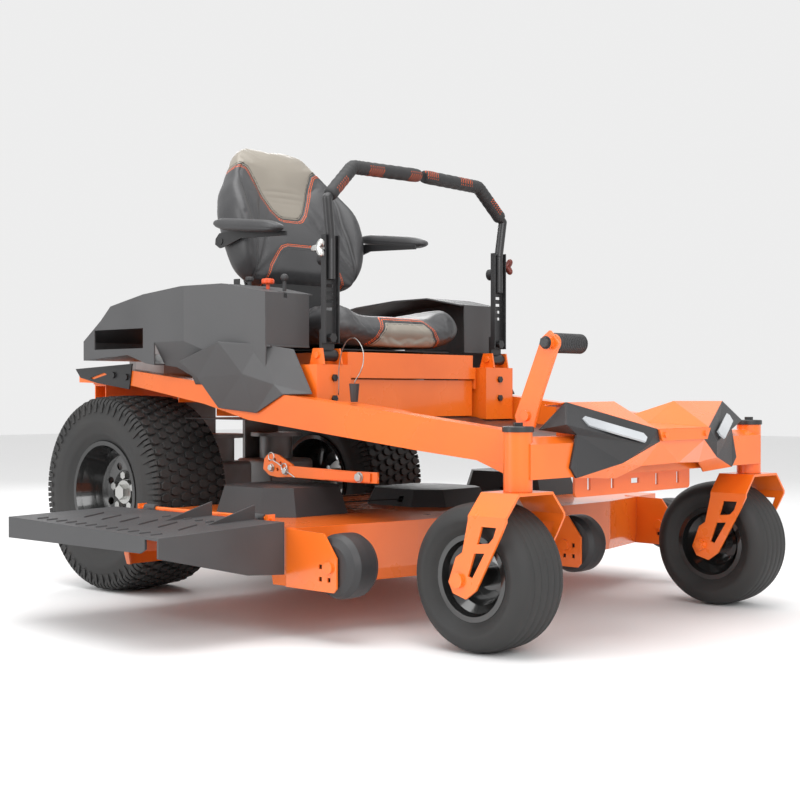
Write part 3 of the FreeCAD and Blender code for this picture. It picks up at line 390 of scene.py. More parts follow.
def to_panel(points, outline):
    """Signed distance to a closed outline, positive inside, and the way along it."""
    gap, along = to_line(points, outline + outline[:1])
    x, y = points[:, 0], points[:, 1]
    inside = np.zeros(len(points), bool)
    for (ax, ay), (bx, by) in zip(outline, outline[1:] + outline[:1]):
        if ay != by:
            cross = ((ay > y) != (by > y)) & (x < (bx - ax) * (y - ay) / (by - ay) + ax)
            inside ^= cross
    return np.where(inside, gap, -gap), along


def puff(obj, voxel, pressure, cap, held):
    """Remesh the form evenly, blow it up with its held points fixed, and limit how far it moves."""
    remesh = obj.modifiers.new("even", "REMESH")
    remesh.mode = "VOXEL"
    remesh.voxel_size = voxel
    settle(obj)
    points = numbers([v.co for v in obj.data.vertices])
    group = obj.vertex_groups.new(name="held")
    group.add([int(i) for i in np.nonzero(held(points))[0]], 1.0, "REPLACE")
    cloth = obj.modifiers.new("blow", "CLOTH")
    cloth.settings.use_pressure = True
    cloth.settings.uniform_pressure_force = pressure
    cloth.settings.effector_weights.gravity = 0
    cloth.settings.vertex_group_mass = "held"
    cloth.settings.tension_stiffness = 12
    cloth.settings.compression_stiffness = 12
    cloth.point_cache.frame_start = 1
    cloth.point_cache.frame_end = 20
    for f in range(1, 21):
        bpy.context.scene.frame_set(f)
    blown = obj.evaluated_get(bpy.context.evaluated_depsgraph_get()).data
    new = [v.co.copy() for v in blown.vertices]
    obj.modifiers.clear()
    obj.vertex_groups.clear()
    bpy.context.scene.frame_set(1)
    for v, co in zip(obj.data.vertices, new):
        step = co - v.co
        if step.length > cap:
            step *= cap / step.length
        v.co += step


def rounder(obj, level):
    sub = obj.modifiers.new("soft", "SUBSURF")
    sub.levels = sub.render_levels = level
    settle(obj)


def press(obj, gap, depth, width):
    """Draw the skin in along a seam, given each point's distance to it."""
    verts = obj.data.vertices
    place, normal = np.empty(len(verts) * 3), np.empty(len(verts) * 3)
    verts.foreach_get("co", place)
    obj.data.vertex_normals.foreach_get("vector", normal)
    place -= normal * np.repeat(depth * np.exp(-(gap / width) ** 2), 3)
    verts.foreach_set("co", place)
    obj.data.update()


def adding(nodes_in, links_in):
    """A short way to chain Math nodes: calc(kind, a, b, c) with numbers or sockets."""
    def calc(kind, *values):
        node = nodes_in.new("ShaderNodeMath")
        node.operation = kind
        for socket, value in zip(node.inputs, values):
            if isinstance(value, (int, float)):
                socket.default_value = value
            else:
                links_in.new(value, socket)
        return node.outputs[0]
    return calc


def sewn_cover():
    """Dark vinyl, taupe panels, double orange stitching round them and dark stitched seams."""
    mat, n, l, s = shade("sewn_cover")
    s.inputs["Coat Weight"].default_value = 0.05
    s.inputs["Coat Roughness"].default_value = 0.35

    def field(name):
        a = n.new("ShaderNodeAttribute")
        a.attribute_name = name
        return a.outputs["Fac"]

    calc = adding(n, l)

    def stripe(value, centre, half):
        return calc("LESS_THAN", calc("ABSOLUTE", calc("SUBTRACT", value, centre)), half)

    def dashes(run, pitch, share):
        return calc("LESS_THAN", calc("FRACT", calc("DIVIDE", run, pitch)), share)

    def mix(fac, a, b):
        m = n.new("ShaderNodeMix")
        m.data_type = "RGBA"
        l.new(fac, m.inputs[0])
        for k, v in ((6, a), (7, b)):
            if isinstance(v, tuple):
                m.inputs[k].default_value = (*v, 1)
            else:
                l.new(v, m.inputs[k])
        return m.outputs[2]

    panel, run, seam, seam_run = (field(k) for k in ("panel", "run", "seam", "seam_run"))
    tan_area = field("taupe")
    cloud = n.new("ShaderNodeGroup")
    cloud.node_tree = patches_group
    cloud.inputs["Scale"].default_value = 7
    dark = mix(cloud.outputs["Mask"], (0.036, 0.036, 0.038), (0.050, 0.050, 0.052))
    light = mix(cloud.outputs["Mask"], (0.235, 0.210, 0.175), (0.265, 0.240, 0.200))
    base = mix(calc("GREATER_THAN", tan_area, 0.0), dark, light)
    line = calc("LESS_THAN", calc("ABSOLUTE", panel), 1.0)
    base = mix(line, base, (0.012, 0.012, 0.012))
    thread = calc("MULTIPLY", calc("MAXIMUM", stripe(panel, -7.0, 1.15), stripe(panel, -12.5, 1.15)),
                  dashes(run, 6.5, 0.74))
    base = mix(thread, base, (0.72, 0.10, 0.006))
    dark_thread = calc("MULTIPLY", calc("MAXIMUM", stripe(seam, 4.0, 0.9), stripe(panel, 5.0, 0.8)),
                       dashes(seam_run, 6.0, 0.7))
    base = mix(dark_thread, base, (0.008, 0.008, 0.008))
    l.new(base, s.inputs["Base Color"])
    gloss = n.new("ShaderNodeMapRange")
    gloss.inputs["To Min"].default_value = 0.36
    gloss.inputs["To Max"].default_value = 0.48
    l.new(cloud.outputs["Mask"], gloss.inputs["Value"])
    l.new(gloss.outputs["Result"], s.inputs["Roughness"])
    grain = n.new("ShaderNodeGroup")
    grain.node_tree = pebble_group
    grain.inputs["Scale"].default_value = 520
    raised = calc("ADD", calc("MULTIPLY", grain.outputs["Height"], 0.35),
                  calc("ADD", calc("MULTIPLY", thread, 0.9), calc("MULTIPLY", dark_thread, 0.5)))
    raised = calc("SUBTRACT", raised, calc("MULTIPLY", line, 0.9))
    bump = n.new("ShaderNodeBump")
    bump.inputs["Strength"].default_value = 0.45
    bump.inputs["Distance"].default_value = 0.0012
    l.new(raised, bump.inputs["Height"])
    l.new(bump.outputs["Normal"], s.inputs["Normal"])
    return mat


dark_vinyl = finish("dark_vinyl", (0.040, 0.040, 0.042), (0.052, 0.052, 0.054), (0.40, 0.50),
                    grain=(650, 0.35))
dress(dark_vinyl, "seat_cushion", "seat_back", "armrest_left", "armrest_right")
seat_cover = sewn_cover()
cushion_seams = [[(s * 196, -690, 684), (s * 214, -712, 730), (s * 214, -706, 776), (s * 204, -668, 806),
                  (s * 190, -600, 806), (s * 180, -500, 796), (s * 176, -400, 788), (s * 176, -280, 782)]
                 for s in (-1, 1)]
cushion_tan = [(-146, 668), (-134, 690), (-80, 762), (80, 762), (134, 690), (146, 668)]


def cushion_ring(x):
    """One slice through the cushion from side to side: underside, front roll, top and rear."""
    u = abs(x) / 262
    drop = 1 - (1 - u ** 5) ** 0.5 if u < 1 else 1
    lobe = math.exp(-((abs(x) - 226) / 52) ** 2)
    front = -724 + 40 * u ** 3 + 30 * drop
    top = 764 + 38 * lobe - 46 * drop
    base = 692 + 22 * drop
    rear = -278 - 18 * drop
    return [(x, rear - 10, base), (x, -500, base), (x, front + 34, base), (x, front + 8, base + 12),
            (x, front - 2, base + 34), (x, front - 2, (base + top) / 2 + 10), (x, front + 8, top - 16),
            (x, front + 36, top + 2 * lobe), (x, front + 90, top + 7 * lobe), (x, -480, top - 8),
            (x, -380, top - 14), (x, rear - 24, top - 18), (x, rear, top - 34), (x, rear, base + 20)]


cushion = loft("seat_cushion_cover", [cushion_ring(x) for x in
                                     (-262, -258, -250, -236, -218, -196, -172, -130, -80, -30, 30, 80,
                                      130, 172, 196, 218, 236, 250, 258, 262)], seat_cover)
rounder(cushion, 2)


def cushion_held(p):
    gap = np.minimum(to_line(p, cushion_seams[0])[0], to_line(p, cushion_seams[1])[0])
    return (gap < 6) | (p[:, 2] < 696)


puff(cushion, 0.0065, 4.0, 0.016, cushion_held)
rounder(cushion, 1)
points = numbers([v.co for v in cushion.data.vertices])
gaps = [to_line(points, line) for line in cushion_seams]
seam_gap = np.minimum(gaps[0][0], gaps[1][0])
front_face = points[:, 1] < -600
panel, run = to_panel(points[:, [0, 2]], cushion_tan)
panel = np.where(front_face, panel, -80)
press(cushion, seam_gap, 0.0030, 5)
press(cushion, np.abs(panel), 0.0016, 4)
note(cushion, "panel", panel)
note(cushion, "taupe", panel)
note(cushion, "run", run)
note(cushion, "seam", seam_gap)
note(cushion, "seam_run", np.where(gaps[0][0] < gaps[1][0], gaps[0][1], gaps[1][1]))
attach(cushion, "seat")
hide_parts("seat_cushion")

lean = math.radians(21)
root = np.array([0.0, -262.0, 872.0])
up_back = np.array([0.0, math.sin(lean), math.cos(lean)])
out_back = np.array([0.0, -math.cos(lean), math.sin(lean)])


def on_back(x, t, out):
    return tuple(root + np.array([x, 0, 0]) + up_back * t + out_back * out)


def curve_value(table, t):
    for (a, va), (b, vb) in zip(table, table[1:]):
        if t <= b:
            w = (t - a) / (b - a)
            w = w * w * (3 - 2 * w) if va != vb else 0
            return va + (vb - va) * w
    return table[-1][1]


back_half = [(4, 196), (60, 240), (130, 252), (230, 252), (300, 226), (355, 184), (405, 152), (445, 124),
             (470, 70)]
wing_out = [(4, 4), (70, 40), (150, 66), (235, 66), (310, 34), (370, 6), (470, 0)]
head_front = [(4, 30), (120, 40), (300, 34), (380, 44), (440, 34), (470, 10)]
head_rear = [(4, -22), (60, -46), (300, -48), (430, -38), (470, -14)]


def back_ring(t):
    """One slice across the seat back at height t: flat middle, forward wings, rounded rear."""
    half, wing = curve_value(back_half, t), curve_value(wing_out, t)
    front, rear = curve_value(head_front, t), curve_value(head_rear, t)
    side = [(0, front), (0.30, front), (0.56, front + 0.06 * wing), (0.72, front + 0.42 * wing),
            (0.84, front + 0.88 * wing), (0.93, front + 0.94 * wing), (0.985, front + 0.62 * wing),
            (1.0, front * 0.4 + 0.1 * wing), (0.97, rear * 0.4), (0.86, rear * 0.85), (0.6, rear),
            (0.3, rear), (0, rear)]
    loop = side + [(-a, b) for a, b in side[-2:0:-1]]
    return [on_back(a * half, t, b) for a, b in loop]


seat_back = loft("seat_back_cover", [back_ring(t) for t in
                                     (4, 14, 34, 64, 100, 140, 185, 230, 270, 305, 335, 365, 395, 420,
                                      442, 458, 470)], seat_cover)
rounder(seat_back, 1)
back_tan = [(-250, 520), (-250, 352), (-205, 378), (-150, 386), (-128, 374), (-106, 334), (-88, 290),
            (-62, 244), (-42, 224), (-28, 219), (28, 219), (42, 224), (62, 244), (88, 290), (106, 334),
            (128, 374), (150, 386), (205, 378), (250, 352), (250, 520)]
lumbar = [(-158, -60), (-150, 0), (-128, 48), (-88, 94), (-74, 106), (-52, 113), (52, 113), (74, 106),
          (88, 94), (128, 48), (150, 0), (158, -60)]
wing_seam = [[(s * 140, 384), (s * 168, 352), (s * 182, 310), (s * 186, 262), (s * 184, 205),
              (s * 190, 112), (s * 206, 0)] for s in (-1, 1)]


def back_place(p):
    rel = p - root
    return np.stack([p[:, 0], rel @ up_back], axis=1), rel @ out_back


def back_held(p):
    flat, out = back_place(p)
    gap = np.minimum(to_line(flat, wing_seam[0])[0], to_line(flat, wing_seam[1])[0])
    edge = np.abs(to_panel(flat, back_tan)[0])
    return (out > 0) & ((gap < 6) | (edge < 5)) | ((out < -30) & (np.abs(p[:, 0]) < 140))


puff(seat_back, 0.0065, 4.0, 0.016, back_held)
rounder(seat_back, 1)
points = numbers([v.co for v in seat_back.data.vertices])
flat, out = back_place(points)
front_side = out > -6
tan_gap, tan_run = to_panel(flat, back_tan)
low_gap, low_run = to_panel(flat, lumbar)
gaps = [to_line(flat, line) for line in wing_seam]
seam_gap = np.where(front_side, np.minimum(gaps[0][0], gaps[1][0]), 60)
near_tan = np.abs(tan_gap) < np.abs(low_gap)
panel = np.where(near_tan, tan_gap, low_gap)
panel = np.where(front_side | near_tan, panel, -80)
press(seat_back, seam_gap, 0.0026, 5)
press(seat_back, np.where(front_side, np.abs(tan_gap), 60), 0.0026, 4)
press(seat_back, np.where(front_side, np.abs(low_gap + 10), 60), 0.0016, 5)
note(seat_back, "panel", panel)
note(seat_back, "taupe", tan_gap)
note(seat_back, "run", np.where(near_tan, tan_run, low_run))
note(seat_back, "seam", seam_gap)
note(seat_back, "seam_run", np.where(gaps[0][0] < gaps[1][0], gaps[0][1], gaps[1][1]))
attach(seat_back, "seat")
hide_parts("seat_back")

# ---- Rear drive tyres: turf tyres of black rubber on black pressed rims. The casing is turned about
# the axle, and its tread is one pitch of blocks and shoulder lugs that Geometry Nodes repeats round it.
def lathe(name, section, centre, material, turns=96):
    """A closed section of (along X, radius) pairs turned about an axle, in millimetres."""
    coords, faces, n = [], [], len(section)
    for k in range(turns):
        a = 2 * math.pi * k / turns
        coords += [at(centre[0] + x, centre[1] + r * math.cos(a), centre[2] + r * math.sin(a))
                   for x, r in section]
        for i in range(n):
            j, up = (i + 1) % n, (k + 1) % turns
            faces.append((k * n + i, k * n + j, up * n + j, up * n + i))
    data = bpy.data.meshes.new(name)
    data.from_pydata(coords, [], faces)
    bm = bmesh.new()
    bm.from_mesh(data)
    bmesh.ops.recalc_face_normals(bm, faces=bm.faces)
    bm.to_mesh(data)
    bm.free()
    data.materials.append(material)
    for f in data.polygons:
        f.use_smooth = True
    return link_up(name, data)


def copies_tree():
    """Copies of a shape, each one step and one turn on from the last, set in their place as one mesh."""
    tree = bpy.data.node_groups.new("copies", "GeometryNodeTree")
    face, nodes_in = tree.interface, tree.nodes
    face.new_socket("Shape", in_out="INPUT", socket_type="NodeSocketGeometry")
    ids = {label: face.new_socket(label, in_out="INPUT", socket_type="NodeSocket" + kind).identifier
           for label, kind in (("Count", "Int"), ("Step", "Vector"), ("Turn", "Vector"), ("Place", "Vector"),
                               ("Finish", "Material"))}
    face.new_socket("Made", in_out="OUTPUT", socket_type="NodeSocketGeometry")
    entry, leave = nodes_in.new("NodeGroupInput"), nodes_in.new("NodeGroupOutput")
    row = nodes_in.new("GeometryNodeMeshLine")
    put = nodes_in.new("GeometryNodeInstanceOnPoints")
    number = nodes_in.new("GeometryNodeInputIndex")
    angle = nodes_in.new("ShaderNodeVectorMath")
    angle.operation = "SCALE"
    rotation = nodes_in.new("FunctionNodeEulerToRotation")
    real = nodes_in.new("GeometryNodeRealizeInstances")
    move = nodes_in.new("GeometryNodeTransform")
    dress = nodes_in.new("GeometryNodeSetMaterial")
    link = tree.links.new
    link(entry.outputs["Count"], row.inputs["Count"])
    link(entry.outputs["Step"], row.inputs["Offset"])
    link(row.outputs["Mesh"], put.inputs["Points"])
    link(entry.outputs["Shape"], put.inputs["Instance"])
    link(entry.outputs["Turn"], angle.inputs[0])
    link(number.outputs[0], angle.inputs["Scale"])
    link(angle.outputs[0], rotation.inputs[0])
    link(rotation.outputs[0], put.inputs["Rotation"])
    link(put.outputs[0], move.inputs["Geometry"])
    link(entry.outputs["Place"], move.inputs["Translation"])
    link(move.outputs[0], real.inputs["Geometry"])
    link(real.outputs[0], dress.inputs["Geometry"])
    link(entry.outputs["Finish"], dress.inputs["Material"])
    link(dress.outputs[0], leave.inputs["Made"])
    return tree, ids


copies, copies_in = copies_tree()


def repeat(name, coords, faces, material, count, place, step=(0, 0, 0), turn=(0, 0, 0)):
    """One mesh of count copies of a shape given in millimetres about its own zero."""
    data = bpy.data.meshes.new(name + "_one")
    data.from_pydata([[c / 1000 for c in p] for p in coords], [], faces)
    bm = bmesh.new()
    bm.from_mesh(data)
    bmesh.ops.recalc_face_normals(bm, faces=bm.faces)
    bm.to_mesh(data)
    bm.free()
    obj = link_up(name, data)
    made = obj.modifiers.new("copies", "NODES")
    made.node_group = copies
    for label, value in (("Count", count), ("Step", Vector(step) / 1000), ("Turn", Vector(turn)),
                         ("Place", place), ("Finish", material)):
        made[copies_in[label]] = value
    obj.data.update_tag()
    new = bpy.data.meshes.new_from_object(obj.evaluated_get(bpy.context.evaluated_depsgraph_get()))
    obj.modifiers.clear()
    obj.data = new
    new.name = name
    bpy.data.meshes.remove(data)
    for f in new.polygons:
        f.use_smooth = False
    return obj


def block(outline, low, high, shrink, phase, place):
    """A tread block: an outline of (x, round) pairs raised from one radius to another, top drawn in."""
    coords = []
    middle_x = sum(p[0] for p in outline) / len(outline)
    for r, scale in ((low, 1.0), (high - 1.2, 1 - shrink / 2), (high, 1 - shrink)):
        for x, s in outline:
            a = phase + s * scale / high
            coords.append((middle_x + (x - middle_x) * scale, r * math.sin(a), r * math.cos(a)))
    n = len(outline)
    faces = [tuple(place + 2 * n + i for i in range(n))]
    for k in (0, 1):
        for i in range(n):
            j = (i + 1) % n
            faces.append(tuple(place + k * n + q for q in (i, j, j + n, i + n)))
    faces.append(tuple(place + i for i in range(n)))
    return coords, faces


tyre_rubber = finish("tyre_rubber", (0.017, 0.017, 0.017), (0.030, 0.029, 0.028), (0.62, 0.80),
                     grain=(500, 0.3), dust=9)
gloss_black = finish("gloss_black", (0.012, 0.012, 0.012), (0.020, 0.020, 0.020), (0.14, 0.24), coat=0.8,
                     edge=0.0015)
dress(tyre_rubber, "rear_tyre_left", "rear_tyre_right", "caster_tyre_left", "caster_tyre_right")
dress(gloss_black, "rear_rim_left", "rear_rim_right", "caster_rim_left", "caster_rim_right")
tyre_r, bead_r = 280, 140
casing = [(97, bead_r), (106, 152), (108, 158), (117, 166), (124, 176), (126, 190), (129, 194), (129.6, 214),
          (127.5, 218), (126, 234), (121, 250), (112, 261), (98, 267), (70, 270), (36, 271.4)]
casing = casing + [(0, 271.8)] + [(-x, r) for x, r in casing[::-1]] + [(-60, bead_r - 2), (60, bead_r - 2)]
pitches = 52
pitch = 2 * math.pi / pitches
hexagon = [(-14, -7), (-5, -13), (6, -12), (14, -6), (14, 7), (5, 13), (-6, 12), (-14, 6)]
for side, s in (("right", -1), ("left", 1)):
    centre = (s * 411, 0, tyre_r)
    tyre = lathe(f"turf_tyre_{side}", casing, centre, tyre_rubber)
    coords, faces = [], []
    for column, x in enumerate((-96, -64, -32, 0, 32, 64, 96)):
        high = tyre_r - 0.8 - 5 * (x / 110) ** 2
        more, skin = block([(x + a, b) for a, b in hexagon], 266 - 3 * (x / 96) ** 2, high, 0.14,
                           pitch / 2 * (column % 2), len(coords))
        coords += more
        faces += skin
    for e in (-1, 1):
        for shift in (0.0, pitch / 2):
            deep = 122 if shift else 129.6
            rise = [(113, 258), (113, 271.5), (119, 268.5), (125, 259), (deep, 244 if shift else 232),
                    (124, 230)]
            start = len(coords)
            for half in (-5.5, 5.5):
                for x, r in rise:
                    turned = pitch / 2 + shift + half / r
                    coords.append((e * x, r * math.sin(turned), r * math.cos(turned)))
            n = len(rise)
            faces += [tuple(range(start, start + n)), tuple(range(start + n, start + 2 * n))]
            for i in range(n):
                j = (i + 1) % n
                faces.append((start + i, start + j, start + n + j, start + n + i))
    tread = repeat(f"turf_tread_{side}", coords, faces, tyre_rubber, pitches, at(*centre), turn=(pitch, 0, 0))
    for piece in (tyre, tread):
        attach(piece, f"wheel_rear_{side}")
    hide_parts(f"rear_tyre_{side}")

# ---- Caster tyres: small smooth rubber tyres with rounded shoulders, five fine grooves round the
# tread and a step in each wall, on black pressed rims.
small = [(52, 84), (56, 92), (60, 98), (66, 104), (73, 112), (76, 120), (78, 122), (79.5, 128), (78.5, 134),
         (76, 140), (72, 148), (65, 155), (56, 160), (45, 162.6), (43, 161.2), (41, 162.9), (24, 164.2),
         (22, 162.6), (20, 164.3)]
small = small + [(2, 164.9), (0, 163.2)] + [(-x, r) for x, r in [(2, 164.9)] + small[::-1]]
small = small + [(-40, 82), (40, 82)]
for joint in frame["joints"]:
    if joint["name"].startswith("caster_wheel"):
        side = joint["name"].split("_")[2]
        p = joint["pos_m"]
        centre = ((p[0] - mid_x) * 1000, (p[1] - axle_y) * 1000, p[2] * 1000)
        tyre = lathe(f"smooth_tyre_{side}", small, centre, tyre_rubber, turns=72)
        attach(tyre, f"caster_wheel_{side}")
        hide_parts(f"caster_tyre_{side}")

# ---- Lap bar grips: soft foam sleeves pushed over the bars, from above the lower bend to the middle.
# Groups of slanted slits show an orange underlayer.
def slit_foam():
    mat, n, l, s = shade("slit_foam")
    s.inputs["Roughness"].default_value = 0.62
    calc = adding(n, l)
    far, angle = n.new("ShaderNodeAttribute"), n.new("ShaderNodeAttribute")
    far.attribute_name, angle.attribute_name = "along", "round"
    slanted = calc("ADD", far.outputs["Fac"], calc("MULTIPLY", angle.outputs["Fac"], 7))
    slit = calc("LESS_THAN", calc("FRACT", calc("DIVIDE", slanted, 8.0)), 0.27)
    past = calc("DIVIDE", calc("SUBTRACT", far.outputs["Fac"], 22), 150.0)
    group = calc("LESS_THAN", calc("FRACT", past), 0.36)
    facing = calc("GREATER_THAN", calc("COSINE", calc("SUBTRACT", angle.outputs["Fac"], 0.7)), 0.45)
    cut = calc("MULTIPLY", calc("MULTIPLY", slit, group), facing)
    tint = n.new("ShaderNodeMix")
    tint.data_type = "RGBA"
    tint.inputs[6].default_value = (0.022, 0.022, 0.023, 1)
    tint.inputs[7].default_value = (0.55, 0.075, 0.008, 1)
    l.new(cut, tint.inputs[0])
    l.new(tint.outputs[2], s.inputs["Base Color"])
    cells = n.new("ShaderNodeGroup")
    cells.node_tree = pebble_group
    cells.inputs["Scale"].default_value = 900
    bump = n.new("ShaderNodeBump")
    bump.inputs["Strength"].default_value = 0.5
    bump.inputs["Distance"].default_value = 0.0012
    l.new(calc("SUBTRACT", calc("MULTIPLY", cells.outputs["Height"], 0.4), cut), bump.inputs["Height"])
    l.new(bump.outputs["Normal"], s.inputs["Normal"])
    return mat


foam_rubber = finish("foam_rubber", (0.020, 0.020, 0.020), (0.028, 0.028, 0.028), (0.60, 0.72),
                     grain=(900, 0.5))
foam_slit = slit_foam()
dress(foam_rubber, "grip_left", "grip_right")
grip_guide = [(347, -751.1, 1077.2), (318, -748.5, 1103.9), (290, -746, 1129.7), (270, -744.2, 1148),
              (256, -743, 1161), (238, -743.7, 1161.2), (215, -744.7, 1161.5), (170, -746.5, 1162),
              (120, -748.5, 1162.7), (60, -751, 1163.4), (12, -753, 1164)]
for side, s in (("right", -1), ("left", 1)):
    line = flow("grip_line", [(s * x, y, z) for x, y, z in grip_guide])
    first = line[0] + (line[0] - line[1]).normalized() * 0.0015
    last = line[-1] + (line[-1] - line[-2]).normalized() * 0.0015
    line = [first] + line + [last]
    middle_sizes = [0.0186 + 0.0004 * math.cos(k) for k in range(len(line) - 4)]
    sizes = [0.0135, 0.0168] + middle_sizes + [0.0168, 0.0135]
    sleeve = tube(f"foam_sleeve_{side}", line, sizes, foam_slit, sides=32)
    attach(sleeve, f"lap_bar_{side}")
    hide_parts(f"grip_{side}")

# ---- Armrests: a moulded foam pad with a vinyl skin on a flat steel arm that folds up beside the back.
for side, s in (("right", -1), ("left", 1)):
    rings = []
    for k in range(13):
        t = k / 12
        y, z = -506 + 278 * t, 1019 + 31 * t
        round_end = min(1, 0.35 + 5 * min(t, 1 - t))
        half_w, half_h = 28 * round_end ** 0.5, (17 + 1.5 * math.sin(math.pi * t)) * round_end
        rings.append([(s * (294 + half_w * math.copysign(abs(math.cos(a)) ** 0.6, math.cos(a))), y,
                       z + half_h * math.copysign(abs(math.sin(a)) ** 0.7, math.sin(a)))
                      for a in (math.pi * 2 * q / 16 for q in range(16))])
    pad = loft(f"armrest_pad_{side}", rings, dark_vinyl)
    rounder(pad, 2)
    spots = numbers([v.co for v in pad.data.vertices])
    middle = 1019 + 31 / 278 * (spots[:, 1] + 506)
    press(pad, np.abs(spots[:, 2] - middle + 6), 0.0009, 2.0)
    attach(pad, f"armrest_{side}")
    outline = [(-492, 1000), (-300, 1006), (-236, 988), (-208, 984), (-188, 996), (-190, 1012), (-206, 1027),
               (-260, 1031), (-492, 1012)]
    bm = bmesh.new()
    face = bm.faces.new([bm.verts.new(at(s * 259.4, y, z)) for y, z in outline])
    push = bmesh.ops.extrude_face_region(bm, geom=[face])
    moved = [v for v in push["geom"] if isinstance(v, bmesh.types.BMVert)]
    bmesh.ops.translate(bm, vec=(s * 0.0055, 0, 0), verts=moved)
    bmesh.ops.recalc_face_normals(bm, faces=bm.faces)
    data = bpy.data.meshes.new(f"armrest_arm_{side}")
    bm.to_mesh(data)
    bm.free()
    data.materials.append(black_paint)
    arm = link_up(f"armrest_arm_{side}", data)
    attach(arm, f"armrest_{side}")
    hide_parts(f"armrest_{side}")

# ---- Lap bar knobs: a silver three-lobed hand knob on the right bar and a dark red one on the left,
# each on a stud through its channel, that set the bars' reach.
red_plastic = finish("red_plastic", (0.16, 0.022, 0.012), (0.12, 0.018, 0.010), (0.35, 0.45),
                     grain=(900, 0.2), edge=0.001)
arm_x, arm_y = 342, -735
for side, s, knob_mat, slot in (("right", -1, zinc, "zinc"), ("left", 1, red_plastic, "orange_plastic")):
    coords, faces, around = [], [], 48
    layers = [(0, 0.30), (2, 0.36), (7, 0.36), (9, 0.82), (12, 0.97), (17, 1.0), (21, 0.92), (23, 0.70),
              (24, 0.0)]
    for depth, share in layers:
        for k in range(around):
            a = 2 * math.pi * k / around + 0.5
            lobed = 17.5 + 8.5 * math.cos(3 * a) if share > 0.5 else 20
            coords.append(at(s * (arm_x + 26 + depth), arm_y - 14 + share * lobed * math.cos(a),
                             938 + share * lobed * math.sin(a)))
    for row in range(len(layers) - 1):
        for k in range(around):
            m = (k + 1) % around
            faces.append((row * around + k, row * around + m, (row + 1) * around + m, (row + 1) * around + k))
    faces.append(tuple(range(around)))
    data = bpy.data.meshes.new(f"hand_knob_{side}")
    data.from_pydata(coords, [], faces)
    bm = bmesh.new()
    bm.from_mesh(data)
    bmesh.ops.remove_doubles(bm, verts=bm.verts, dist=1e-5)
    bmesh.ops.recalc_face_normals(bm, faces=bm.faces)
    bm.to_mesh(data)
    bm.free()
    data.materials.append(knob_mat)
    for f in data.polygons:
        f.use_smooth = True
    knob = link_up(f"hand_knob_{side}", data)
    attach(knob, f"lap_bar_{side}")


def plate(name, place, points, thick, material, holes=()):
    """A flat plate whose (y, z) outline stands at one X; holes are (y, z, radius)."""
    line = bpy.data.curves.new(name + "_line", "CURVE")
    line.dimensions = "2D"
    line.fill_mode = "BOTH"
    loops = [points] + [[(a + r * math.cos(2 * math.pi * k / 24), b + r * math.sin(2 * math.pi * k / 24))
                         for k in range(24)] for a, b, r in holes]
    for loop in loops:
        spline = line.splines.new("POLY")
        spline.points.add(len(loop) - 1)
        for point, (a, b) in zip(spline.points, loop):
            point.co = (a / 1000, b / 1000, 0, 1)
        spline.use_cyclic_u = True
    line.extrude = thick / 2000
    line.bevel_depth = 0.0006
    line.bevel_resolution = 1
    holder = link_up(name + "_line", line)
    data = bpy.data.meshes.new_from_object(holder.evaluated_get(bpy.context.evaluated_depsgraph_get()))
    bpy.data.objects.remove(holder)
    bpy.data.curves.remove(line)
    data.name = name
    for v in data.vertices:
        a, b, c = v.co * 1000
        v.co = at(place + c, a, b)
    bm = bmesh.new()
    bm.from_mesh(data)
    bmesh.ops.remove_doubles(bm, verts=bm.verts, dist=1e-6)
    bmesh.ops.recalc_face_normals(bm, faces=bm.faces)
    bm.to_mesh(data)
    bm.free()
    data.materials.clear()
    data.materials.append(material)
    return link_up(name, data)


def hexagon_head(name, place, across, high, facing, material):
    """A bolt's hexagon head with a round washer face, standing at place and facing one way."""
    way = Vector(facing).normalized()
    side = way.orthogonal().normalized()
    other = way.cross(side)
    coords, faces = [], []
    for depth, r, sides in ((0, across * 0.66, 1), (1.2, across * 0.66, 1), (1.2, across * 0.57, 0),
                            (high - 1, across * 0.57, 0), (high, across * 0.50, 0)):
        for k in range(24):
            a = 2 * math.pi * k / 24
            grow = 1 if sides else 0.88 / max(math.cos((a % (math.pi / 3)) - math.pi / 6), 0.8)
            spoke = (side * math.cos(a) + other * math.sin(a)) * r * grow
            coords.append(at(*place) + (way * depth + spoke) / 1000)
    for row in range(4):
        for k in range(24):
            m = (k + 1) % 24
            faces.append((row * 24 + k, row * 24 + m, row * 24 + 24 + m, row * 24 + 24 + k))
    faces += [tuple(range(24))[::-1], tuple(range(96, 120))]
    data = bpy.data.meshes.new(name)
    data.from_pydata(coords, [], faces)
    bm = bmesh.new()
    bm.from_mesh(data)
    bmesh.ops.recalc_face_normals(bm, faces=bm.faces)
    bm.to_mesh(data)
    bm.free()
    data.materials.append(material)
    return link_up(name, data)


# ---- Deck lift linkage on the right: a lift plate with setting holes and hairpins, and a link bar with
# a slide bar and its bolt on the bar's face, all orange sheet steel. They ride on the deck.
lift_x = -400
lift_plate = plate("lift_plate", lift_x,
                   [(-556, 366), (-560, 392), (-572, 403), (-592, 407), (-614, 404), (-640, 392), (-668, 380),
                    (-676, 362), (-660, 348), (-612, 346), (-580, 350)], 6, orange_paint,
                   [(-580, 390, 5), (-602, 391, 5), (-624, 383, 5), (-590, 370, 5), (-612, 366, 5),
                    (-652, 364, 5)])
link_bar = plate("link_bar", lift_x - 9,
                 [(-640, 350), (-640, 378), (-900, 372), (-985, 372), (-985, 346), (-900, 345)],
                 6, orange_paint, [(-655, 364, 6)])
slot_bar = plate("slot_bar", lift_x - 16, [(-800, 349), (-800, 371), (-965, 369), (-965, 349)], 3,
                 orange_paint)
for piece in (lift_plate, link_bar, slot_bar):
    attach(piece, "deck")
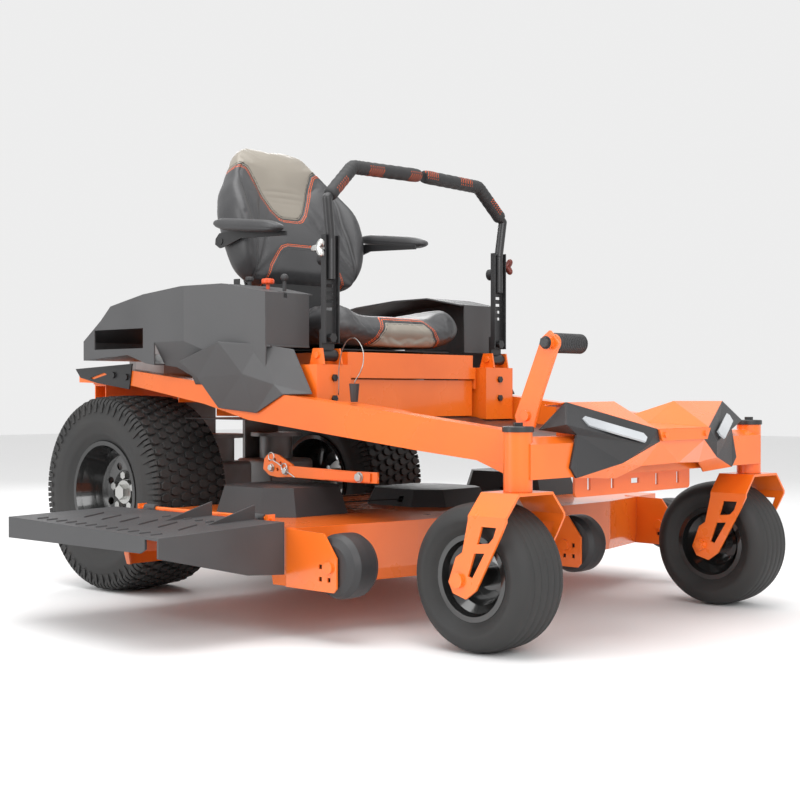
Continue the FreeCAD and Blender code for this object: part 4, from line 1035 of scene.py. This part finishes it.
for name, place, across in (("link_bolt", (lift_x - 19, -930, 359), 20),
                            ("link_bolt_rear", (lift_x - 13, -655, 364), 16),
                            ("lift_bolt", (lift_x - 4, -590, 370), 16)):
    bolt = hexagon_head(name, place, across, 8, (-1, 0, 0), zinc)
    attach(bolt, "deck")
for k, (y, z) in enumerate(((-602, 391), (-652, 364))):
    angles = [math.pi * q / 6 for q in range(-2, 9)]
    guide = [(lift_x + 4, y, z), (lift_x - 12, y, z)]
    guide += [(lift_x - 16, y + 11 * math.cos(a), z + 9 + 11 * math.sin(a)) for a in angles]
    guide += [(lift_x - 15, y - 26, z - 8), (lift_x - 15, y - 40, z - 16)]
    pin = tube(f"hairpin_{k}", flow("hairpin_line", guide), 0.0017, zinc, sides=8)
    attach(pin, "deck")

# ---- Lift pedal trim: a black ribbed grip on the foot bar and a black bolt at the lever's top; the ribs
# are one ring that Geometry Nodes repeats along the grip.
black_plastic = finish("black_plastic", (0.022, 0.022, 0.023), (0.032, 0.032, 0.034), (0.42, 0.55),
                       grain=(1300, 0.25), edge=0.002)
grip_y, grip_z = -1500, 677
rib = [(-2.0, 20.2), (-1.4, 22.4), (1.4, 22.4), (2.0, 20.2)]
coords, faces = [], []
for k in range(36):
    a = 2 * math.pi * k / 36
    coords += [(x, r * math.cos(a), r * math.sin(a)) for x, r in rib]
    m = (k + 1) % 36
    faces += [(k * 4 + i, k * 4 + (i + 1) % 4, m * 4 + (i + 1) % 4, m * 4 + i) for i in range(4)]
ribs = repeat("pedal_grip_ribs", coords, faces, black_plastic, 15, at(-378, grip_y, grip_z), step=(6.4, 0, 0))
sleeve = tube("pedal_grip", [at(x, grip_y, grip_z) for x in (-384, -382, -300, -289, -286.4)],
              [0.0196, 0.0212, 0.0212, 0.0212, 0.019], black_plastic, sides=32)
pedal_bolt = hexagon_head("pedal_bolt", (-412, grip_y, grip_z), 22, 9, (-1, 0, 0), black_paint)
for piece, slot in ((ribs, "black_plastic"), (sleeve, "black_plastic"), (pedal_bolt, "black_paint")):
    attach(piece, "lift_pedal")

# ---- Grass deflector ribs: the moulded deflector has a row of short raised bars along its outer edge and
# longer slanted ribs across its middle. One bar is repeated along each row by Geometry Nodes.
def bar_shape(long, wide, high, slant):
    """A raised bar along X with bevelled sides, its far end moved along Y by slant."""
    coords = []
    for z, cut in ((-2, 0), (high * 0.6, 0.4), (high, 1.2)):
        for x, y in ((cut, cut - wide / 2), (long - cut, slant + cut - wide / 2),
                     (long - cut, slant + wide / 2 - cut), (cut, wide / 2 - cut)):
            coords.append((x, y, z))
    faces = [(3, 2, 1, 0), (8, 9, 10, 11)]
    for k in (0, 4):
        faces += [(k + i, k + (i + 1) % 4, k + 4 + (i + 1) % 4, k + 4 + i) for i in range(4)]
    return coords, faces


deflector_plastic = finish("deflector_plastic", (0.045, 0.045, 0.047), (0.060, 0.060, 0.062), (0.50, 0.62),
                           grain=(1200, 0.3), edge=0.0015)
dress(deflector_plastic, "chute")
chute_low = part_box("chute")[0]
edge_x, front_y = (chute_low.x - mid_x) * 1000, (chute_low.y - axle_y) * 1000
hinge_x = -686
for name, inset, first, count, gap, long, slant in (("deflector_ticks", 26, 62, 12, 47, 30, 0),
                                                   ("deflector_ribs", 118, 84, 6, 84, 88, 44),
                                                   ("deflector_inner_ticks", 250, 150, 5, 47, 24, 0)):
    x = edge_x + inset
    z = 268 - 12 * (hinge_x - x) / 360
    coords, faces = bar_shape(long, 5, 3.2, slant)
    tilt = [(a, b, c + a * 12 / 360) for a, b, c in coords]
    bars = repeat(name, tilt, faces, deflector_plastic, count, at(x, front_y + first, z),
                  step=(gap * 62 / 694, gap, gap * 2 / 694))
    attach(bars, "chute")

# ---- Covers and small wheels in black plastic: belt covers over the outer spindles, anti-scalp wheels on
# the deck's front edge, lamp housings, and the hand controls on the right pod.
orange_plastic = finish("orange_plastic", (0.80, 0.085, 0.01), (0.72, 0.07, 0.01), (0.35, 0.45),
                        grain=(1300, 0.1), edge=0.001)
dress(black_plastic, "belt_covers", "scalp_wheel_left", "scalp_wheel_middle", "scalp_wheel_right",
      "headlight_housings", "choke_knob", "height_pin", "key_switch", "throttle_lever")
dress(orange_plastic, "pto_knob")

# ---- Lamp lenses: clear polycarbonate strips set in the lamp housings.
clear_lens = finish("clear_lens", (0.46, 0.48, 0.50), (0.34, 0.36, 0.38), (0.08, 0.14), coat=1.0, edge=0.001)
dress(clear_lens, "headlight_lenses")


# ---- Pod skirts: the moulded fenders' lower front corners, which drape over the rails beside the seat.
# Each is a folded skin with a crease down its middle, a few millimetres thick with soft edges.
moulded_grey = finish("moulded_grey", (0.058, 0.058, 0.060), (0.070, 0.070, 0.072), (0.50, 0.60),
                      grain=(1100, 0.35), edge=0.003)
dress(moulded_grey, "pod_left", "pod_right")
skirt_points = [(-530, -359, 651), (-505, -405, 606), (-468, -448, 526), (-466, -599, 514), (-463, -700, 563),
                (-412, -755, 564), (-412, -685, 680), (-470, -612, 694), (-530, -522, 700), (-500, -583, 616),
                (-466, -668, 588)]
skirt_faces = [(0, 1, 9, 8), (1, 2, 3, 9), (8, 9, 10, 6, 7), (9, 3, 4, 10), (10, 4, 5, 6)]
widest = {"right": 530, "left": 470}
for side, s in (("right", -1), ("left", 1)):
    data = bpy.data.meshes.new(f"pod_skirt_{side}")
    data.from_pydata([at(s * min(-x, widest[side]), y, z) for x, y, z in skirt_points], [], skirt_faces)
    bm = bmesh.new()
    bm.from_mesh(data)
    bmesh.ops.triangulate(bm, faces=bm.faces)
    bmesh.ops.recalc_face_normals(bm, faces=bm.faces)
    outward = sum(f.normal.x * f.calc_area() for f in bm.faces) * s
    if outward < 0:
        bmesh.ops.reverse_faces(bm, faces=bm.faces)
    bm.to_mesh(data)
    bm.free()
    data.materials.append(moulded_grey)
    skirt = link_up(f"pod_skirt_{side}", data)
    wall = skirt.modifiers.new("wall", "SOLIDIFY")
    wall.thickness = 0.004
    wall.offset = -1
    edge = skirt.modifiers.new("edge", "BEVEL")
    edge.width = 0.003
    edge.segments = 2
    edge.limit_method = "ANGLE"
    edge.angle_limit = math.radians(12)
    settle(skirt)
    for f in skirt.data.polygons:
        f.use_smooth = False
    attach(skirt, "chassis")
